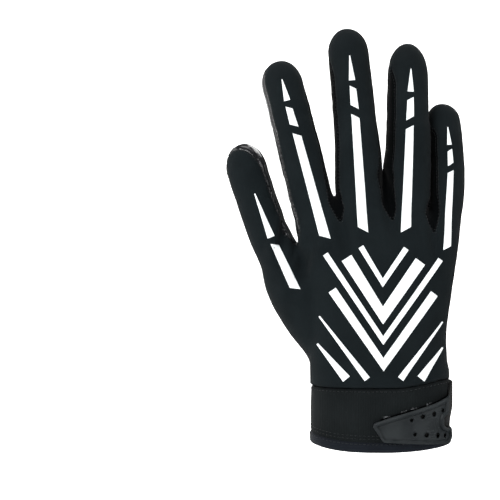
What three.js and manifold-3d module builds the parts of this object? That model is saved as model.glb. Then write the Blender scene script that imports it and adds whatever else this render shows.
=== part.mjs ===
// A football receiver's glove for the right hand, built as its sewn pieces.
// Millimetres. +Z runs from the wrist hem up to the fingertips, -Y is the back of the hand,
// +Y is the palm, and -X is the thumb's side. The origin is the middle of the wrist opening.
//
// The glove is a hollow form: a flattened hand body and five curved digits, all made by one set of
// formulas at any offset. The form at offset zero less the form one cloth thickness inside it is the
// shell. The shell is then parted along the seams into the back panel, the grip palm and the three
// strips between the fingers. The cuff, its edge binding, the strap and the moulded tab go round it.
import * as THREE from "three";
import { mergeVertices } from "three/addons/utils/BufferGeometryUtils.js";
import Module from "manifold-3d";

const wasm = await Module();
wasm.setup();

// Driving dimensions
const gloveLength = 228.2; // hem to the middle fingertip
const knuckleWidth = 91.4;
const knuckleHeight = 119.4; // hem to the knuckle line
const knuckleDepth = 29;
const fingerWidth = 24.5; // the middle finger, across its base
const fingerDepth = 22.5;
const clothWall = 1.4;
const seamGap = 0.3;

const handOffset = 1; // the hand sits this far towards the little finger, off the cuff's middle

const cuffWidth = 75.8;
const cuffDepth = 47;
const cuffHeight = 30.5;
const cuffWall = 2.2;
const cuffTuck = 8; // how far the shell reaches down inside the cuff
const hemDroop = 3.4; // how far the hem hangs at the middle of back and palm, below its sides

const bindingHeight = 5.5; // the tape round the hem
const bindingWidth = 3.4; // the tape up the slit
const bindingProud = 0.8;
const slitHeight = 55;
const slitOpening = 1.2;
const slitBearing = 21; // degrees from +X towards the palm
const slitWave = 1.8;

const strapThickness = 1.2;
const strapTop = 33.5; // its upper edge, on the little finger's side
const tabLength = 44.6;
const tabHeight = 22.3;
const tabEnd = 38.4; // the tab's blunt end, from the origin along X
const tabLow = 1.1;
const tabThickness = 2.6;
const tabLevel = 1.7; // the tab's face inside its raised rim
const tabRim = 2.2;
const tabNotch = 3.4; // depth of the bite in the blunt end

// How the facets are laid out
const digitSides = 14;
const bodySides = 28;
const cuffSides = 56;
const slitSteps = 8;
const digitRoundness = 2.15; // exponent of the digits' superellipse sections
const bodyRoundness = 2.5;
const tipStations = [13, 8.5, 4.6, 1.8, 0.35]; // distances from the fingertip
const shankStations = [0, 0.2, 0.4, 0.6, 0.78]; // shares of the digit's length

// Digits, with the ball of the thumb as one more. footX and tipX are shares of half the knuckle width,
// footZ of the knuckle height, tipZ of the glove length, lift and curl of half the knuckle depth, width
// and depth of the finger's, and bow and round of the digit's width. twist is in degrees. left and
// right say if a side faces another finger.
const digits = [
  { name: "index", footX: -0.7, footZ: 0.864, tipX: -1.254, tipZ: 0.919, bow: 0, lift: 0, curl: 1.1,
    width: 0.955, depth: 0.95, flare: 0.06, taper: 0.05, round: 0.56, twist: -8, left: "outer",
    right: "inner" },
  { name: "middle", footX: -0.2, footZ: 0.864, tipX: -0.41, tipZ: 1, bow: 0, lift: -0.1, curl: 1.25,
    width: 0.965, depth: 1, flare: 0.04, taper: 0.09, round: 0.56, twist: 0, left: "inner",
    right: "inner" },
  { name: "ring", footX: 0.208, footZ: 0.864, tipX: 0.345, tipZ: 0.966, bow: 0.05, lift: -0.03, curl: 1.35,
    width: 0.945, depth: 0.95, flare: 0.02, taper: 0.07, round: 0.78, twist: 12, left: "inner",
    right: "inner" },
  { name: "little", footX: 0.646, footZ: 0.796, tipX: 0.76, tipZ: 0.816, bow: 0.17, lift: 0.17, curl: 1.25,
    width: 0.79, depth: 0.8, flare: 0.1, taper: 0.04, round: 0.5, twist: 34, left: "inner", right: "outer" },
  { name: "thumb", footX: -0.42, footZ: 0.36, tipX: -1.7, tipZ: 0.718, bow: -0.32, lift: 0.5, curl: 0.35,
    width: 0.95, depth: 0.96, flare: 0.45, taper: 0.05, round: 0.6, twist: -18, left: "outer",
    right: "outer" },
  { name: "ball", footX: -0.44, footZ: 0.37, tipX: -1.31, tipZ: 0.468, bow: -0.12, lift: 0.5, curl: 0.1,
    width: 1.27, depth: 1.34, flare: -0.1, taper: 0.03, round: 0.95, twist: -22, left: "outer",
    right: "outer" },
];
const depthFlare = 0.45; // how much of a digit's flare its depth takes

// Hand body. up is a share of the knuckle height, left and right of half the knuckle width, back and
// front of half its depth. seamLeft and seamRight are the seams' places, as shares of the front depth.
const bodyRows = [
  { up: 0.285, left: -0.86, right: 0.8, back: 1.48, front: 1.5, seamLeft: 0.42, seamRight: 0.66 },
  { up: 0.364, left: -0.87, right: 0.777, back: 1.36, front: 1.42, seamLeft: 0.42, seamRight: 0.66 },
  { up: 0.507, left: -0.853, right: 0.766, back: 1.22, front: 1.46, seamLeft: 0.42, seamRight: 0.42 },
  { up: 0.709, left: -0.897, right: 0.851, back: 1.09, front: 1.3, seamLeft: 0.36, seamRight: 0.42 },
  { up: 0.863, left: -0.974, right: 0.895, back: 1.03, front: 1.12, seamLeft: 0.16, seamRight: 0.5 },
  { up: 1, left: -1.06, right: 0.928, back: 0.95, front: 0.97, seamLeft: 0.12, seamRight: 0.55 },
  { up: 1.055, left: -1.045, right: 0.915, back: 0.76, front: 0.78, seamLeft: 0.12, seamRight: 0.55 },
  { up: 1.085, left: -0.99, right: 0.87, back: 0.44, front: 0.44, seamLeft: 0.12, seamRight: 0.55 },
];
const crotchFall = 0.055; // the crotches fall towards the little finger, as a share of the knuckle height

// Seams on the digits, as shares of half their depth. An inner side has a strip between its two seams.
const seamOfPalm = { inner: 0.42, outer: 0.26 };
const seamOfBack = { inner: -0.3, outer: 0.26 };
const seamAtTip = 0.3;
const seamsMeet = { from: 9, to: 20 }; // distances from the fingertip over which the strip runs out
const cutMargin = 0.5;
const crumb = 1; // cubic millimetres
const seamLevel = 0.06; // the body's side seams run level over this share of its width,
const seamBent = 0.14; // then bend to the strips' seams by this share

const halfWidth = knuckleWidth / 2;
const halfDepth = knuckleDepth / 2;
const degrees = Math.PI / 180;
const mix = (a, b, t) => a + (b - a) * t;
const smooth = (low, high, x) => {
  const t = Math.min(1, Math.max(0, (x - low) / (high - low)));
  return t * t * (3 - 2 * t);
};
const signedPower = (x, p) => Math.sign(x) * Math.abs(x) ** p;

// A closed solid through rings of points that all have the same count, capped at both ends. A ruled cap
// runs straight from the front of its ring to the back, for ends that aren't flat.
function loft(rings, ruled = false) {
  const count = rings[0].length;
  const points = rings.flat();
  const faces = [];
  for (let r = 0; r + 1 < rings.length; r++)
    for (let i = 0; i < count; i++) {
      const a = r * count + i;
      const b = r * count + ((i + 1) % count);
      faces.push(a, b, b + count, a, b + count, a + count);
    }
  const ruledCap = (first, flip) => {
    for (let i = 0; i + 1 < count / 2; i++) {
      const [a, b, c, d] = [i, i + 1, count - 2 - i, count - 1 - i].map((k) => first + k);
      faces.push(...(flip ? [a, c, b, a, d, c] : [a, b, c, a, c, d]));
    }
  };
  const cap = (ring, first, flip) => {
    if (ruled) return ruledCap(first, flip);
    const flat = ring.map((p) => new THREE.Vector2(p.x, p.y));
    const area = THREE.ShapeUtils.area(flat);
    for (const [a, b, c] of THREE.ShapeUtils.triangulateShape(flat, [])) {
      const turned = THREE.ShapeUtils.area([flat[a], flat[b], flat[c]]) * area < 0;
      const face = [a, b, c].map((k) => first + k);
      faces.push(...(turned !== flip ? face.reverse() : face));
    }
  };
  cap(rings[0], 0, true);
  cap(rings.at(-1), (rings.length - 1) * count, false);
  const geometry = new THREE.BufferGeometry().setFromPoints(points);
  geometry.setIndex(faces);
  return solid(geometry);
}

// A solid from any closed three.js geometry, with points merged that lie within a tolerance.
function solid(geometry, tolerance = 1e-4) {
  const plain = geometry.index ? geometry.toNonIndexed() : geometry.clone();
  plain.deleteAttribute("normal");
  plain.deleteAttribute("uv");
  const merged = mergeVertices(plain, tolerance);
  const made = new wasm.Manifold(
    new wasm.Mesh({
      numProp: 3,
      vertProperties: merged.attributes.position.array,
      triVerts: new Uint32Array(merged.index.array),
    }),
  );
  if (made.volume() > 0) return made;
  const turned = new Uint32Array(merged.index.array);
  for (let i = 0; i < turned.length; i += 3) [turned[i + 1], turned[i + 2]] = [turned[i + 2], turned[i + 1]];
  return new wasm.Manifold(
    new wasm.Mesh({ numProp: 3, vertProperties: merged.attributes.position.array, triVerts: turned }),
  );
}

// A solid with an outline drawn in X and Z, from one Y to another.
function pushed(outline, holes, low, high) {
  const shape = new THREE.Shape(outline);
  shape.holes.push(...holes.map((h) => new THREE.Path(h)));
  const geometry = new THREE.ExtrudeGeometry(shape, { depth: high - low, bevelEnabled: false });
  geometry.rotateX(Math.PI / 2).translate(0, high, 0);
  return solid(geometry);
}

const union = (solids) => solids.reduce((a, b) => a.add(b));

// A three.js geometry of a solid.
function geometryOf(made) {
  const { numProp, vertProperties, triVerts } = made.getMesh();
  const points = new Float32Array((vertProperties.length / numProp) * 3);
  for (let i = 0; i < points.length / 3; i++)
    points.set(vertProperties.subarray(i * numProp, i * numProp + 3), i * 3);
  const geometry = new THREE.BufferGeometry();
  geometry.setAttribute("position", new THREE.BufferAttribute(points, 3));
  geometry.setIndex(new THREE.BufferAttribute(triVerts, 1));
  return geometry;
}

// A cut along a curved wall can leave crumbs, some only once close points are merged. They are swept
// away in a few rounds, and a real second body would stay.
function swept(made) {
  let kept = made;
  for (let round = 0; round < 3; round++) {
    const bodies = solid(geometryOf(kept), 1e-3).decompose();
    kept = union(bodies.filter((body) => Math.abs(body.volume()) > crumb));
  }
  return kept;
}

// Digits

// The centre line runs straight from foot to tip, with a sideways bow and a curl towards the palm.
function digitCentre(d, t) {
  const end = (share, z) => new THREE.Vector3(handOffset + share * halfWidth, d.lift * halfDepth, z);
  const foot = end(d.footX, d.footZ * knuckleHeight);
  const tip = end(d.tipX, d.tipZ * gloveLength);
  const along = tip.clone().sub(foot);
  const side = new THREE.Vector3(along.z, 0, -along.x).normalize();
  return foot
    .addScaledVector(along, t)
    .addScaledVector(side, d.bow * fingerWidth * 4 * t * (1 - t))
    .add(new THREE.Vector3(0, d.curl * halfDepth * Math.max(0, t) ** 2.5, 0));
}

function digitLength(d) {
  return digitCentre(d, 0).distanceTo(digitCentre(d, 1));
}

// Centre, sideways and palmward directions, and half sizes at a share t of the length.
function digitSection(d, t, grow = 0) {
  const centre = digitCentre(d, t);
  const forward = digitCentre(d, t + 0.01).sub(digitCentre(d, t - 0.01)).normalize();
  const u = new THREE.Vector3(0, 1, 0).cross(forward).normalize().applyAxisAngle(forward, d.twist * degrees);
  const v = forward.clone().cross(u);
  const fromTip = (1 - t) * digitLength(d) + grow;
  const roundLength = d.round * d.width * fingerWidth + grow;
  const end = Math.sqrt(Math.max(0, 1 - (1 - Math.min(1, Math.max(0, fromTip) / roundLength)) ** 2));
  const bulk = 1 - d.taper * t * t;
  const flare = d.flare * (1 - t) ** 3;
  const a = ((d.width * fingerWidth) / 2) * (bulk + flare) + grow;
  const b = ((d.depth * fingerDepth) / 2) * (bulk + flare * depthFlare) + grow;
  return { centre, u, v, a: a * end, b: b * end, fullA: a, fullB: b };
}

function digitStations(d, grow) {
  const tips = tipStations.map((s) => 1 - (s - grow) / digitLength(d));
  return [...shankStations, ...tips];
}

function digitSolid(d, grow) {
  const rings = digitStations(d, grow).map((t) => {
    const { centre, u, v, a, b } = digitSection(d, t, grow);
    return Array.from({ length: digitSides }, (_, i) => {
      const angle = ((i + 0.5) / digitSides) * 2 * Math.PI;
      const x = a * signedPower(Math.cos(angle), 2 / digitRoundness);
      const y = b * signedPower(Math.sin(angle), 2 / digitRoundness);
      return centre.clone().addScaledVector(u, x).addScaledVector(v, y);
    });
  });
  return loft(rings);
}

// Hand body

// The rows up from the cuff, in millimetres. The lowest two lie inside the cuff and follow its size.
function bodyTable() {
  const slitAcross = 0.95 * (cuffWidth / 2) * Math.tan(slitBearing * degrees);
  const tucked = {
    left: -cuffWidth / 2 + cuffWall + seamGap,
    right: cuffWidth / 2 - cuffWall - seamGap,
    back: cuffDepth / 2 - cuffWall - seamGap,
    front: cuffDepth / 2 - cuffWall - seamGap,
    seamLeft: bodyRows[0].seamLeft,
    fall: 0,
  };
  tucked.seamRight = slitAcross / tucked.front; // the slit lies on the seam
  const free = bodyRows.map((r) => ({
    z: r.up * knuckleHeight,
    left: handOffset + r.left * halfWidth,
    right: handOffset + r.right * halfWidth,
    back: r.back * halfDepth,
    front: r.front * halfDepth,
    seamLeft: r.seamLeft,
    seamRight: r.seamRight,
    fall: crotchFall * knuckleHeight * smooth(0.7, 1, r.up),
  }));
  return [{ ...tucked, z: cuffHeight - cuffTuck }, { ...tucked, z: cuffHeight + seamGap }, ...free];
}

// A row's outline as a function from the section's own x and y to a point, so the top row can lean.
function bodyPoint(row, x, y) {
  const middle = (row.left + row.right) / 2;
  return new THREE.Vector3(x, y, row.z - (row.fall * (x - middle)) / halfWidth);
}

function bodySolid(grow, rows = bodyTable()) {
  const last = rows.length - 1;
  const rings = rows.map((row, k) =>
    Array.from({ length: bodySides }, (_, i) => {
      const angle = ((i + 0.5) / bodySides) * 2 * Math.PI;
      const reach = (row.right - row.left) / 2 + grow;
      const deep = (Math.sin(angle) > 0 ? row.front : row.back) + grow;
      const x = (row.left + row.right) / 2 + reach * signedPower(Math.cos(angle), 2 / bodyRoundness);
      const p = bodyPoint(row, x, deep * signedPower(Math.sin(angle), 2 / bodyRoundness));
      if (k === last) p.z += grow;
      return p;
    }),
  );
  return loft(rings);
}

// The whole hand form. below lengthens the foot of the body, so that an inner form opens the wrist.
// The root of the thumb is kept above the cuff.
function handForm(grow, below = 0) {
  const rows = bodyTable();
  rows[0].z -= below;
  const fingers = union(digits.map((d) => digitSolid(d, grow)));
  const floor = cuffHeight + seamGap - Math.min(0, grow);
  const room = new THREE.BoxGeometry(4 * knuckleWidth, 4 * knuckleWidth, gloveLength);
  room.translate(0, 0, floor + gloveLength / 2);
  return bodySolid(grow, rows).add(fingers.intersect(solid(room)));
}

const shell = handForm(0).subtract(handForm(-clothWall, cuffTuck));

// Seams. A region is everything on one side of a seam, wide enough to hold the whole wall.

// A palm region grows by a gap, and a back region shrinks by it, on every face.

function digitRegion(d, side, gap) {
  const grow = side === "palm" ? gap : -gap;
  const tips = tipStations.map((s) => 1 - s / digitLength(d));
  const ends = { foot: -grow / digitLength(d), tip: 1 + (cutMargin + grow) / digitLength(d) };
  const rings = [ends.foot, ...shankStations.slice(1), ...tips, ends.tip].map((t) => {
    const { centre, u, v, fullA, fullB } = digitSection(d, t);
    const strip = smooth(seamsMeet.from, seamsMeet.to, (1 - t) * digitLength(d));
    const table = side === "palm" ? seamOfPalm : seamOfBack;
    const seam = (edge) => mix(seamAtTip, table[edge], strip) * fullB - gap;
    const far = (fullB + cutMargin + grow) * (side === "palm" ? 1 : -1);
    const wide = fullA + cutMargin + grow;
    const corner = (x, y) => centre.clone().addScaledVector(u, x).addScaledVector(v, y);
    return [corner(-wide, seam(d.left)), corner(wide, seam(d.right)), corner(wide, far), corner(-wide, far)];
  });
  return loft(rings);
}

function bodyRegion(side, gap) {
  const grow = side === "palm" ? gap : -gap;
  const table = bodyTable();
  table[0].z -= cutMargin + grow;
  const top = { ...table.at(-1), z: table.at(-1).z + cutMargin + grow };
  const rings = [...table, top].map((row) => {
    const left = row.left - cutMargin - grow;
    const right = row.right + cutMargin + grow;
    const inner = (side === "palm" ? seamOfPalm.inner : seamOfBack.inner) * halfDepth * 0.75 - gap;
    const far = side === "palm" ? row.front + cutMargin + grow : -row.back - cutMargin - grow;
    const low = row.seamLeft * row.front - gap;
    const high = row.seamRight * row.front - gap;
    return [
      [left, low],
      [mix(left, right, seamLevel), low],
      [mix(left, right, seamBent), inner],
      [mix(right, left, seamBent), inner],
      [mix(right, left, seamLevel), high],
      [right, high],
      [right, far],
      [left, far],
    ].map(([x, y]) => bodyPoint(row, x, y));
  });
  return loft(rings);
}

const region = (side, gap) => union([bodyRegion(side, gap), ...digits.map((d) => digitRegion(d, side, gap))]);

const palmRegion = region("palm", 0);
const backRegion = region("back", 0).subtract(region("palm", seamGap));

// The space between two neighbouring fingers, from one centre line to the other.
function betweenFingers(a, b) {
  const line = (d) =>
    [0, 0.25, 0.5, 0.75, 1].map((t) => {
      const p = digitCentre(d, t);
      return new THREE.Vector2(p.x, p.z);
    });
  const [tipA, tipB] = [a, b].map((d) => line(d).at(-1));
  const reach = fingerWidth / 2 + 1;
  const over = tipA.y > tipB.y ? [tipA.x + reach, tipA.y] : [tipB.x - reach, tipB.y];
  const outline = [...line(a), new THREE.Vector2(...over), ...line(b).reverse()];
  return pushed(outline, [], -3 * halfDepth, 3 * halfDepth);
}

// Cuff

function cuffOutline(grow, sides = cuffSides) {
  return Array.from({ length: sides }, (_, i) => {
    const angle = ((i + 0.5) / sides) * 2 * Math.PI;
    return new THREE.Vector2(
      (cuffWidth / 2 + grow) * signedPower(Math.cos(angle), 2 / bodyRoundness),
      (cuffDepth / 2 + grow) * signedPower(Math.sin(angle), 2 / bodyRoundness),
    );
  });
}

// How far the hem hangs at x: nothing at the sides, all of the droop in the middle.
const droopAt = (x) => hemDroop * (1 - Math.min(1, (2 * x) / cuffWidth) ** 2);

// A block with the cuff's outline. A hanging edge follows the hem's droop.
function cuffBlock(grow, low, high, lowHangs = false, highHangs = false) {
  const ring = (z, hangs) =>
    cuffOutline(grow).map((p) => new THREE.Vector3(p.x, p.y, z - (hangs ? droopAt(Math.abs(p.x)) : 0)));
  return loft([ring(low, lowHangs), ring(high, highHangs)], true);
}

function cuffTube(out, inside, low, high, lowHangs, highHangs) {
  const core = cuffBlock(-inside, low - hemDroop - 1, high + 1);
  return cuffBlock(out, low, high, lowHangs, highHangs).subtract(core);
}

// Slit, on the little finger's side of the wrist, drawn flat and pushed through the wall. It is straight
// in the cuff and waves once above it. Offsets from its middle line run towards the back of the hand.

const slitLow = -hemDroop - 1;
const tapeReach = slitOpening / 2 + bindingWidth;
const slitTurn = slitHeight - tapeReach;

function slitWaveAt(z) {
  const above = Math.max(0, (z - cuffHeight) / (slitHeight - cuffHeight));
  return -slitWave * Math.sin(2 * Math.PI * above);
}

function slitStrip(from, to, low, roundTop) {
  const heights = Array.from({ length: slitSteps + 1 }, (_, i) => mix(cuffHeight, slitTurn, i / slitSteps));
  if (low < cuffHeight) heights.unshift(low);
  const at = (offset, z) => new THREE.Vector2(-offset - slitWaveAt(z), z);
  const outline = heights.map((z) => at(to, z));
  const middle = (from + to) / 2;
  const radius = (to - from) / 2;
  if (roundTop)
    for (let i = 1; i < 8; i++) {
      const angle = (i / 8) * Math.PI;
      const p = at(middle + radius * Math.cos(angle), slitTurn);
      outline.push(p.setY(p.y + radius * Math.sin(angle)));
    }
  outline.push(...heights.map((z) => at(from, z)).reverse());
  return pushed(outline, [], -cuffWidth, 0).rotate([0, 0, slitBearing + 90]);
}

const tapeRoom = slitStrip(-tapeReach - seamGap, tapeReach + seamGap, slitLow, true);
const slitHole = slitStrip(-slitOpening / 2, slitOpening / 2, slitLow, true);
const palmSideRoom = slitStrip(-tapeReach - seamGap, slitOpening / 2, slitLow, false);

// The tape folds over the wall's edge, so it is a little thicker than the wall on both faces.
const aboveCuff = cuffBlock(knuckleWidth, cuffHeight + seamGap, gloveLength);
const foldedWall = handForm(bindingProud)
  .subtract(handForm(-clothWall - bindingProud, cuffTuck))
  .intersect(aboveCuff);
const foldedCuff = cuffTube(bindingProud, cuffWall + bindingProud, 0, cuffHeight + seamGap, true);
const hemTape = cuffTube(bindingProud, cuffWall + bindingProud, 0, bindingHeight, true, true);
const upperTape = slitStrip(-tapeReach, tapeReach, 0, true).intersect(foldedWall);
const lowerTape = slitStrip(-tapeReach, 0, 0, false).intersect(foldedCuff);
const edgeBinding = union([hemTape, upperTape, lowerTape]).subtract(slitHole);

const cuff = cuffTube(0, cuffWall, bindingHeight + seamGap, cuffHeight, true).subtract(palmSideRoom);

// Closure: a strap over the cuff and a moulded tab over the strap, both drawn flat as seen from the back

// A flat outline with holes, between two distances outside the cuff.
function wrap(outline, holes, from, to, high) {
  const band = cuffTube(to, -from, -cuffHeight, strapTop + cuffHeight);
  return pushed(outline, holes, -cuffDepth, high).intersect(band);
}

// The tab's outline in shares of its length and height, from its pointed end and its lower edge.
const tabCorners = [
  { name: "point", u: 0, v: 0.44 },
  { name: "heel", u: 0.125, v: 0.065 },
  { name: "foot", u: 0.735, v: 0 },
  { name: "toe", u: 0.985, v: 0.01 },
  { name: "bump", u: 1, v: 0.24 },
  { name: "notchLow", u: 0.975, v: 0.39 },
  { name: "notchHigh", u: 0.97, v: 0.86 },
  { name: "shoulder", u: 0.965, v: 1 },
  { name: "nose", u: 0.02, v: 0.525 },
];
const tabPoint = ({ u, v }) => new THREE.Vector2(tabEnd - tabLength * (1 - u), tabLow + tabHeight * v);

function tabOutline() {
  const outline = [];
  for (const corner of tabCorners) {
    const p = tabPoint(corner);
    outline.push(p);
    if (corner.name !== "notchLow") continue;
    const next = tabPoint(tabCorners.find((c) => c.name === "notchHigh"));
    for (let i = 1; i < 6; i++) {
      const t = i / 6;
      const q = p.clone().lerp(next, t);
      outline.push(q.setX(q.x - tabNotch * Math.sin(Math.PI * t)));
    }
  }
  return outline;
}

// The outline moved inwards by a distance, corner by corner. The outline runs anticlockwise.
function inset(outline, distance) {
  const count = outline.length;
  return outline.map((p, i) => {
    const before = p.clone().sub(outline[(i + count - 1) % count]).normalize();
    const after = outline[(i + 1) % count].clone().sub(p).normalize();
    const normal = new THREE.Vector2(-before.y - after.y, before.x + after.x).normalize();
    const reach = distance / Math.max(0.5, normal.dot(new THREE.Vector2(-before.y, before.x)));
    return p.clone().addScaledVector(normal, reach);
  });
}

// Two rows of four holes. The radius is a share of the rim's width.
const tabHoles = [
  { u: 0.466, v: 0.587, radius: 0.42 },
  { u: 0.601, v: 0.673, radius: 0.6 },
  { u: 0.747, v: 0.717, radius: 0.64 },
  { u: 0.87, v: 0.785, radius: 0.5 },
  { u: 0.504, v: 0.251, radius: 0.44 },
  { u: 0.648, v: 0.229, radius: 0.62 },
  { u: 0.794, v: 0.202, radius: 0.64 },
  { u: 0.897, v: 0.17, radius: 0.5 },
];

// A round cutter square to the cuff's back, at a place on the tab.
function tabHole({ u, v, radius }) {
  const at = tabPoint({ u, v });
  const share = at.x / (cuffWidth / 2 + tabThickness);
  const y = -(cuffDepth / 2) * (1 - Math.abs(share) ** bodyRoundness) ** (1 / bodyRoundness);
  const slopeX = signedPower(share, bodyRoundness - 1) / cuffWidth;
  const slopeY = signedPower((2 * y) / cuffDepth, bodyRoundness - 1) / cuffDepth;
  const cutter = new THREE.CylinderGeometry(radius * tabRim, radius * tabRim, 6 * tabThickness, 12);
  const out = new THREE.Vector3(slopeX, slopeY, 0).normalize();
  cutter.applyQuaternion(new THREE.Quaternion().setFromUnitVectors(new THREE.Vector3(0, 1, 0), out));
  cutter.translate(at.x, y, at.y);
  return solid(cutter);
}

const strapLow = bindingHeight + seamGap; // the strap runs above the hem tape
const strapInner = seamGap;
const tabInner = strapInner + strapThickness + seamGap;
const beyond = cuffWidth; // past everything on the little finger's side

function makeTab() {
  const outline = tabOutline();
  const rim = inset(outline, tabRim);
  const face = wrap(outline, [], tabInner, tabInner + tabLevel, 0);
  const border = wrap(outline, [rim], tabInner, tabInner + tabThickness, 0);
  return face.add(border).subtract(union(tabHoles.map(tabHole)));
}

function makeStrap() {
  const nose = tabPoint({ u: 0.09, v: 0.5 });
  const heel = tabPoint({ u: 0.2, v: 0.14 });
  const shoulder = tabPoint({ u: 0.9, v: 1.03 });
  const side = cuffWidth / 2 + 1;
  const outline = [
    heel,
    new THREE.Vector2(tabPoint({ u: 0.4, v: 0 }).x, strapLow),
    new THREE.Vector2(beyond, strapLow),
    new THREE.Vector2(beyond, strapTop),
    new THREE.Vector2(side, strapTop),
    new THREE.Vector2(mix(shoulder.x, side, 0.6), mix(shoulder.y, strapTop, 0.4)),
    shoulder,
    nose,
  ];
  const band = wrap(outline, [], strapInner, strapInner + strapThickness, cuffDepth);
  const root = slitStrip(-cuffWidth, seamGap, slitLow, false);
  return band.subtract(root);
}

// Panels

const palmPanel = shell.subtract(tapeRoom).intersect(palmRegion);
const backPanel = shell.subtract(tapeRoom).intersect(backRegion);
const between = shell.subtract(region("palm", seamGap)).subtract(region("back", -seamGap));
const byName = (name) => digits.find((d) => d.name === name);
const strips = [
  ["index", "middle"],
  ["middle", "ring"],
  ["ring", "little"],
];

// Assembly

const look = (color, roughness) => new THREE.MeshStandardMaterial({ color, roughness, metalness: 0 });
const knit = look(0x222629, 0.9);
const grip = look(0x17191b, 0.18);
const stretch = look(0x1d2022, 0.85);
const tape = look(0x1b1e22, 0.75);
const rubber = look(0x34383a, 0.55);

const glove = new THREE.Group();

function addPiece(name, made, material) {
  const mesh = new THREE.Mesh(geometryOf(swept(made)), material);
  mesh.name = name;
  glove.add(mesh);
}

addPiece("back_panel", backPanel, knit);
addPiece("palm_panel", palmPanel, grip);
for (const [a, b] of strips) {
  const room = betweenFingers(byName(a), byName(b));
  addPiece(`strip_${a}_${b}`, between.intersect(room), knit);
}
addPiece("cuff", cuff, stretch);
addPiece("edge_binding", edgeBinding, tape);
addPiece("closure_strap", makeStrap(), stretch);
addPiece("closure_tab", makeTab(), rubber);

export default glove;
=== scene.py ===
# %% [markdown]
# # A football receiver's glove
#
# The frame holds the glove's solids: a knit back, a grip palm, three strips between the fingers, a cuff,
# its edge tape, a strap and a rubber pull tab. This notebook makes the finished cloth, film, rubber and
# thread in their place. Lengths are in millimetres until a mesh is made, because a glove maker thinks in
# them. +Z runs up to the fingertips, -Y is the back of the hand and -X is the thumb's side.

# %% Load the frame
import math

import bmesh
import bpy
import numpy as np
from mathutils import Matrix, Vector, noise
from mathutils.bvhtree import BVHTree


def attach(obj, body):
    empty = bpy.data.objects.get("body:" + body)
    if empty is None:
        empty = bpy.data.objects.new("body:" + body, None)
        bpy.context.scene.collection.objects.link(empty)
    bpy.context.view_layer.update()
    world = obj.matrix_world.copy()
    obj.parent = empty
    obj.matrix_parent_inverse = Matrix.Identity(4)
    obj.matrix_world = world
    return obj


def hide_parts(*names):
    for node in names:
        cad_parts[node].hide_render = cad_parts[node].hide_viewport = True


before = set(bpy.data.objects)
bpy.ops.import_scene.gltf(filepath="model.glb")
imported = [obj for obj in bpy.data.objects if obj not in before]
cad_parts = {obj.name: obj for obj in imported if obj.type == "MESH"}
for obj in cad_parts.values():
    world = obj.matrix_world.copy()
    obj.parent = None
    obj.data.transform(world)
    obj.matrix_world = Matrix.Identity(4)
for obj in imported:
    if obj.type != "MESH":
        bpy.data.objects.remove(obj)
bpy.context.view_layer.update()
mm = 0.001
print("nodes:", sorted(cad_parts))

# %% [markdown]
# ## Node helpers
#
# The surround, the materials and the trees that lay stitches and pile are all node trees. A small helper
# makes a node, sets its plain values and links its inputs in one call.

# %% Node helpers


def feed(tree, node, inputs):
    """Gives a node's inputs their values: numbers, colours, or sockets to link from."""
    for key, value in inputs.items():
        if isinstance(value, bpy.types.NodeSocket):
            tree.links.new(value, node.inputs[key])
        else:
            node.inputs[key].default_value = value


def put(tree, kind, inputs=None, **settings):
    """Adds a node with its own settings, and feeds its inputs."""
    node = tree.nodes.new(kind)
    for key, value in settings.items():
        setattr(node, key, value)
    feed(tree, node, inputs or {})
    return node


def calc(tree, operation, *values):
    """A Math node's result."""
    return put(tree, "ShaderNodeMath", dict(enumerate(values)), operation=operation).outputs[0]


def new_group(name, inputs, outputs):
    """An empty shader group with float sockets. inputs maps a name to its default."""
    tree = bpy.data.node_groups.new(name, "ShaderNodeTree")
    for key, value in inputs.items():
        tree.interface.new_socket(key, in_out="INPUT", socket_type="NodeSocketFloat").default_value = value
    for key in outputs:
        tree.interface.new_socket(key, in_out="OUTPUT", socket_type="NodeSocketFloat")
    return tree, tree.nodes.new("NodeGroupInput").outputs, tree.nodes.new("NodeGroupOutput")


# %% [markdown]
# ## Camera and light
#
# The photograph looks straight at the back of the hand, with the glove in the right half of the frame.
# A long lens keeps the fingers from spreading towards the edges. The light is that of a white tent: seven
# soft panels and a pale surround, so black cloth stays matt and the silicone shows soft bands. The
# Standard view transform keeps the paper white.

# %% Camera
view_width = 275.0  # what the frame spans at the glove's depth
camera_distance = 800.0
view_centre = (-71.6, 105.0)  # X and Z

camera_data = bpy.data.cameras.new("camera")
camera_data.sensor_width = 36.0
camera_data.lens = camera_data.sensor_width * camera_distance / view_width
camera = bpy.data.objects.new("camera", camera_data)
camera.location = (view_centre[0] * mm, -camera_distance * mm, view_centre[1] * mm)
camera.rotation_euler = (math.radians(90), 0, 0)
bpy.context.scene.collection.objects.link(camera)
bpy.context.scene.camera = camera
bpy.context.scene.view_settings.view_transform = "Standard"

# %% Lights
glove_middle = Vector((0.0, 0.0, 0.11))


def soft_panel(name, place, width, height, power):
    """An area light that faces the glove. Lengths are in metres and the power is in watts."""
    data = bpy.data.lights.new(name, "AREA")
    data.shape = "RECTANGLE"
    data.size = width
    data.size_y = height
    data.energy = power
    lamp = bpy.data.objects.new(name, data)
    lamp.location = place
    lamp.rotation_euler = (glove_middle - Vector(place)).to_track_quat("-Z", "Y").to_euler()
    lamp.visible_camera = False
    bpy.context.scene.collection.objects.link(lamp)


soft_panel("key_panel", (-0.9, -1.1, 0.9), 0.9, 0.9, 18)
soft_panel("fill_panel", (1.1, -1.1, 0.6), 0.9, 0.9, 6.5)
soft_panel("top_panel", (0.0, 0.1, 1.3), 1.0, 1.0, 6)
soft_panel("thumb_side_panel", (-1.3, 0.2, 0.25), 1.7, 1.7, 12.5)
soft_panel("little_side_panel", (1.3, 0.5, 0.2), 0.9, 0.9, 2)
soft_panel("palm_key_panel", (-0.6, 1.5, 0.3), 0.3, 1.5, 7)
soft_panel("palm_high_panel", (0.6, 1.2, 1.2), 0.9, 0.6, 6)

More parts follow.
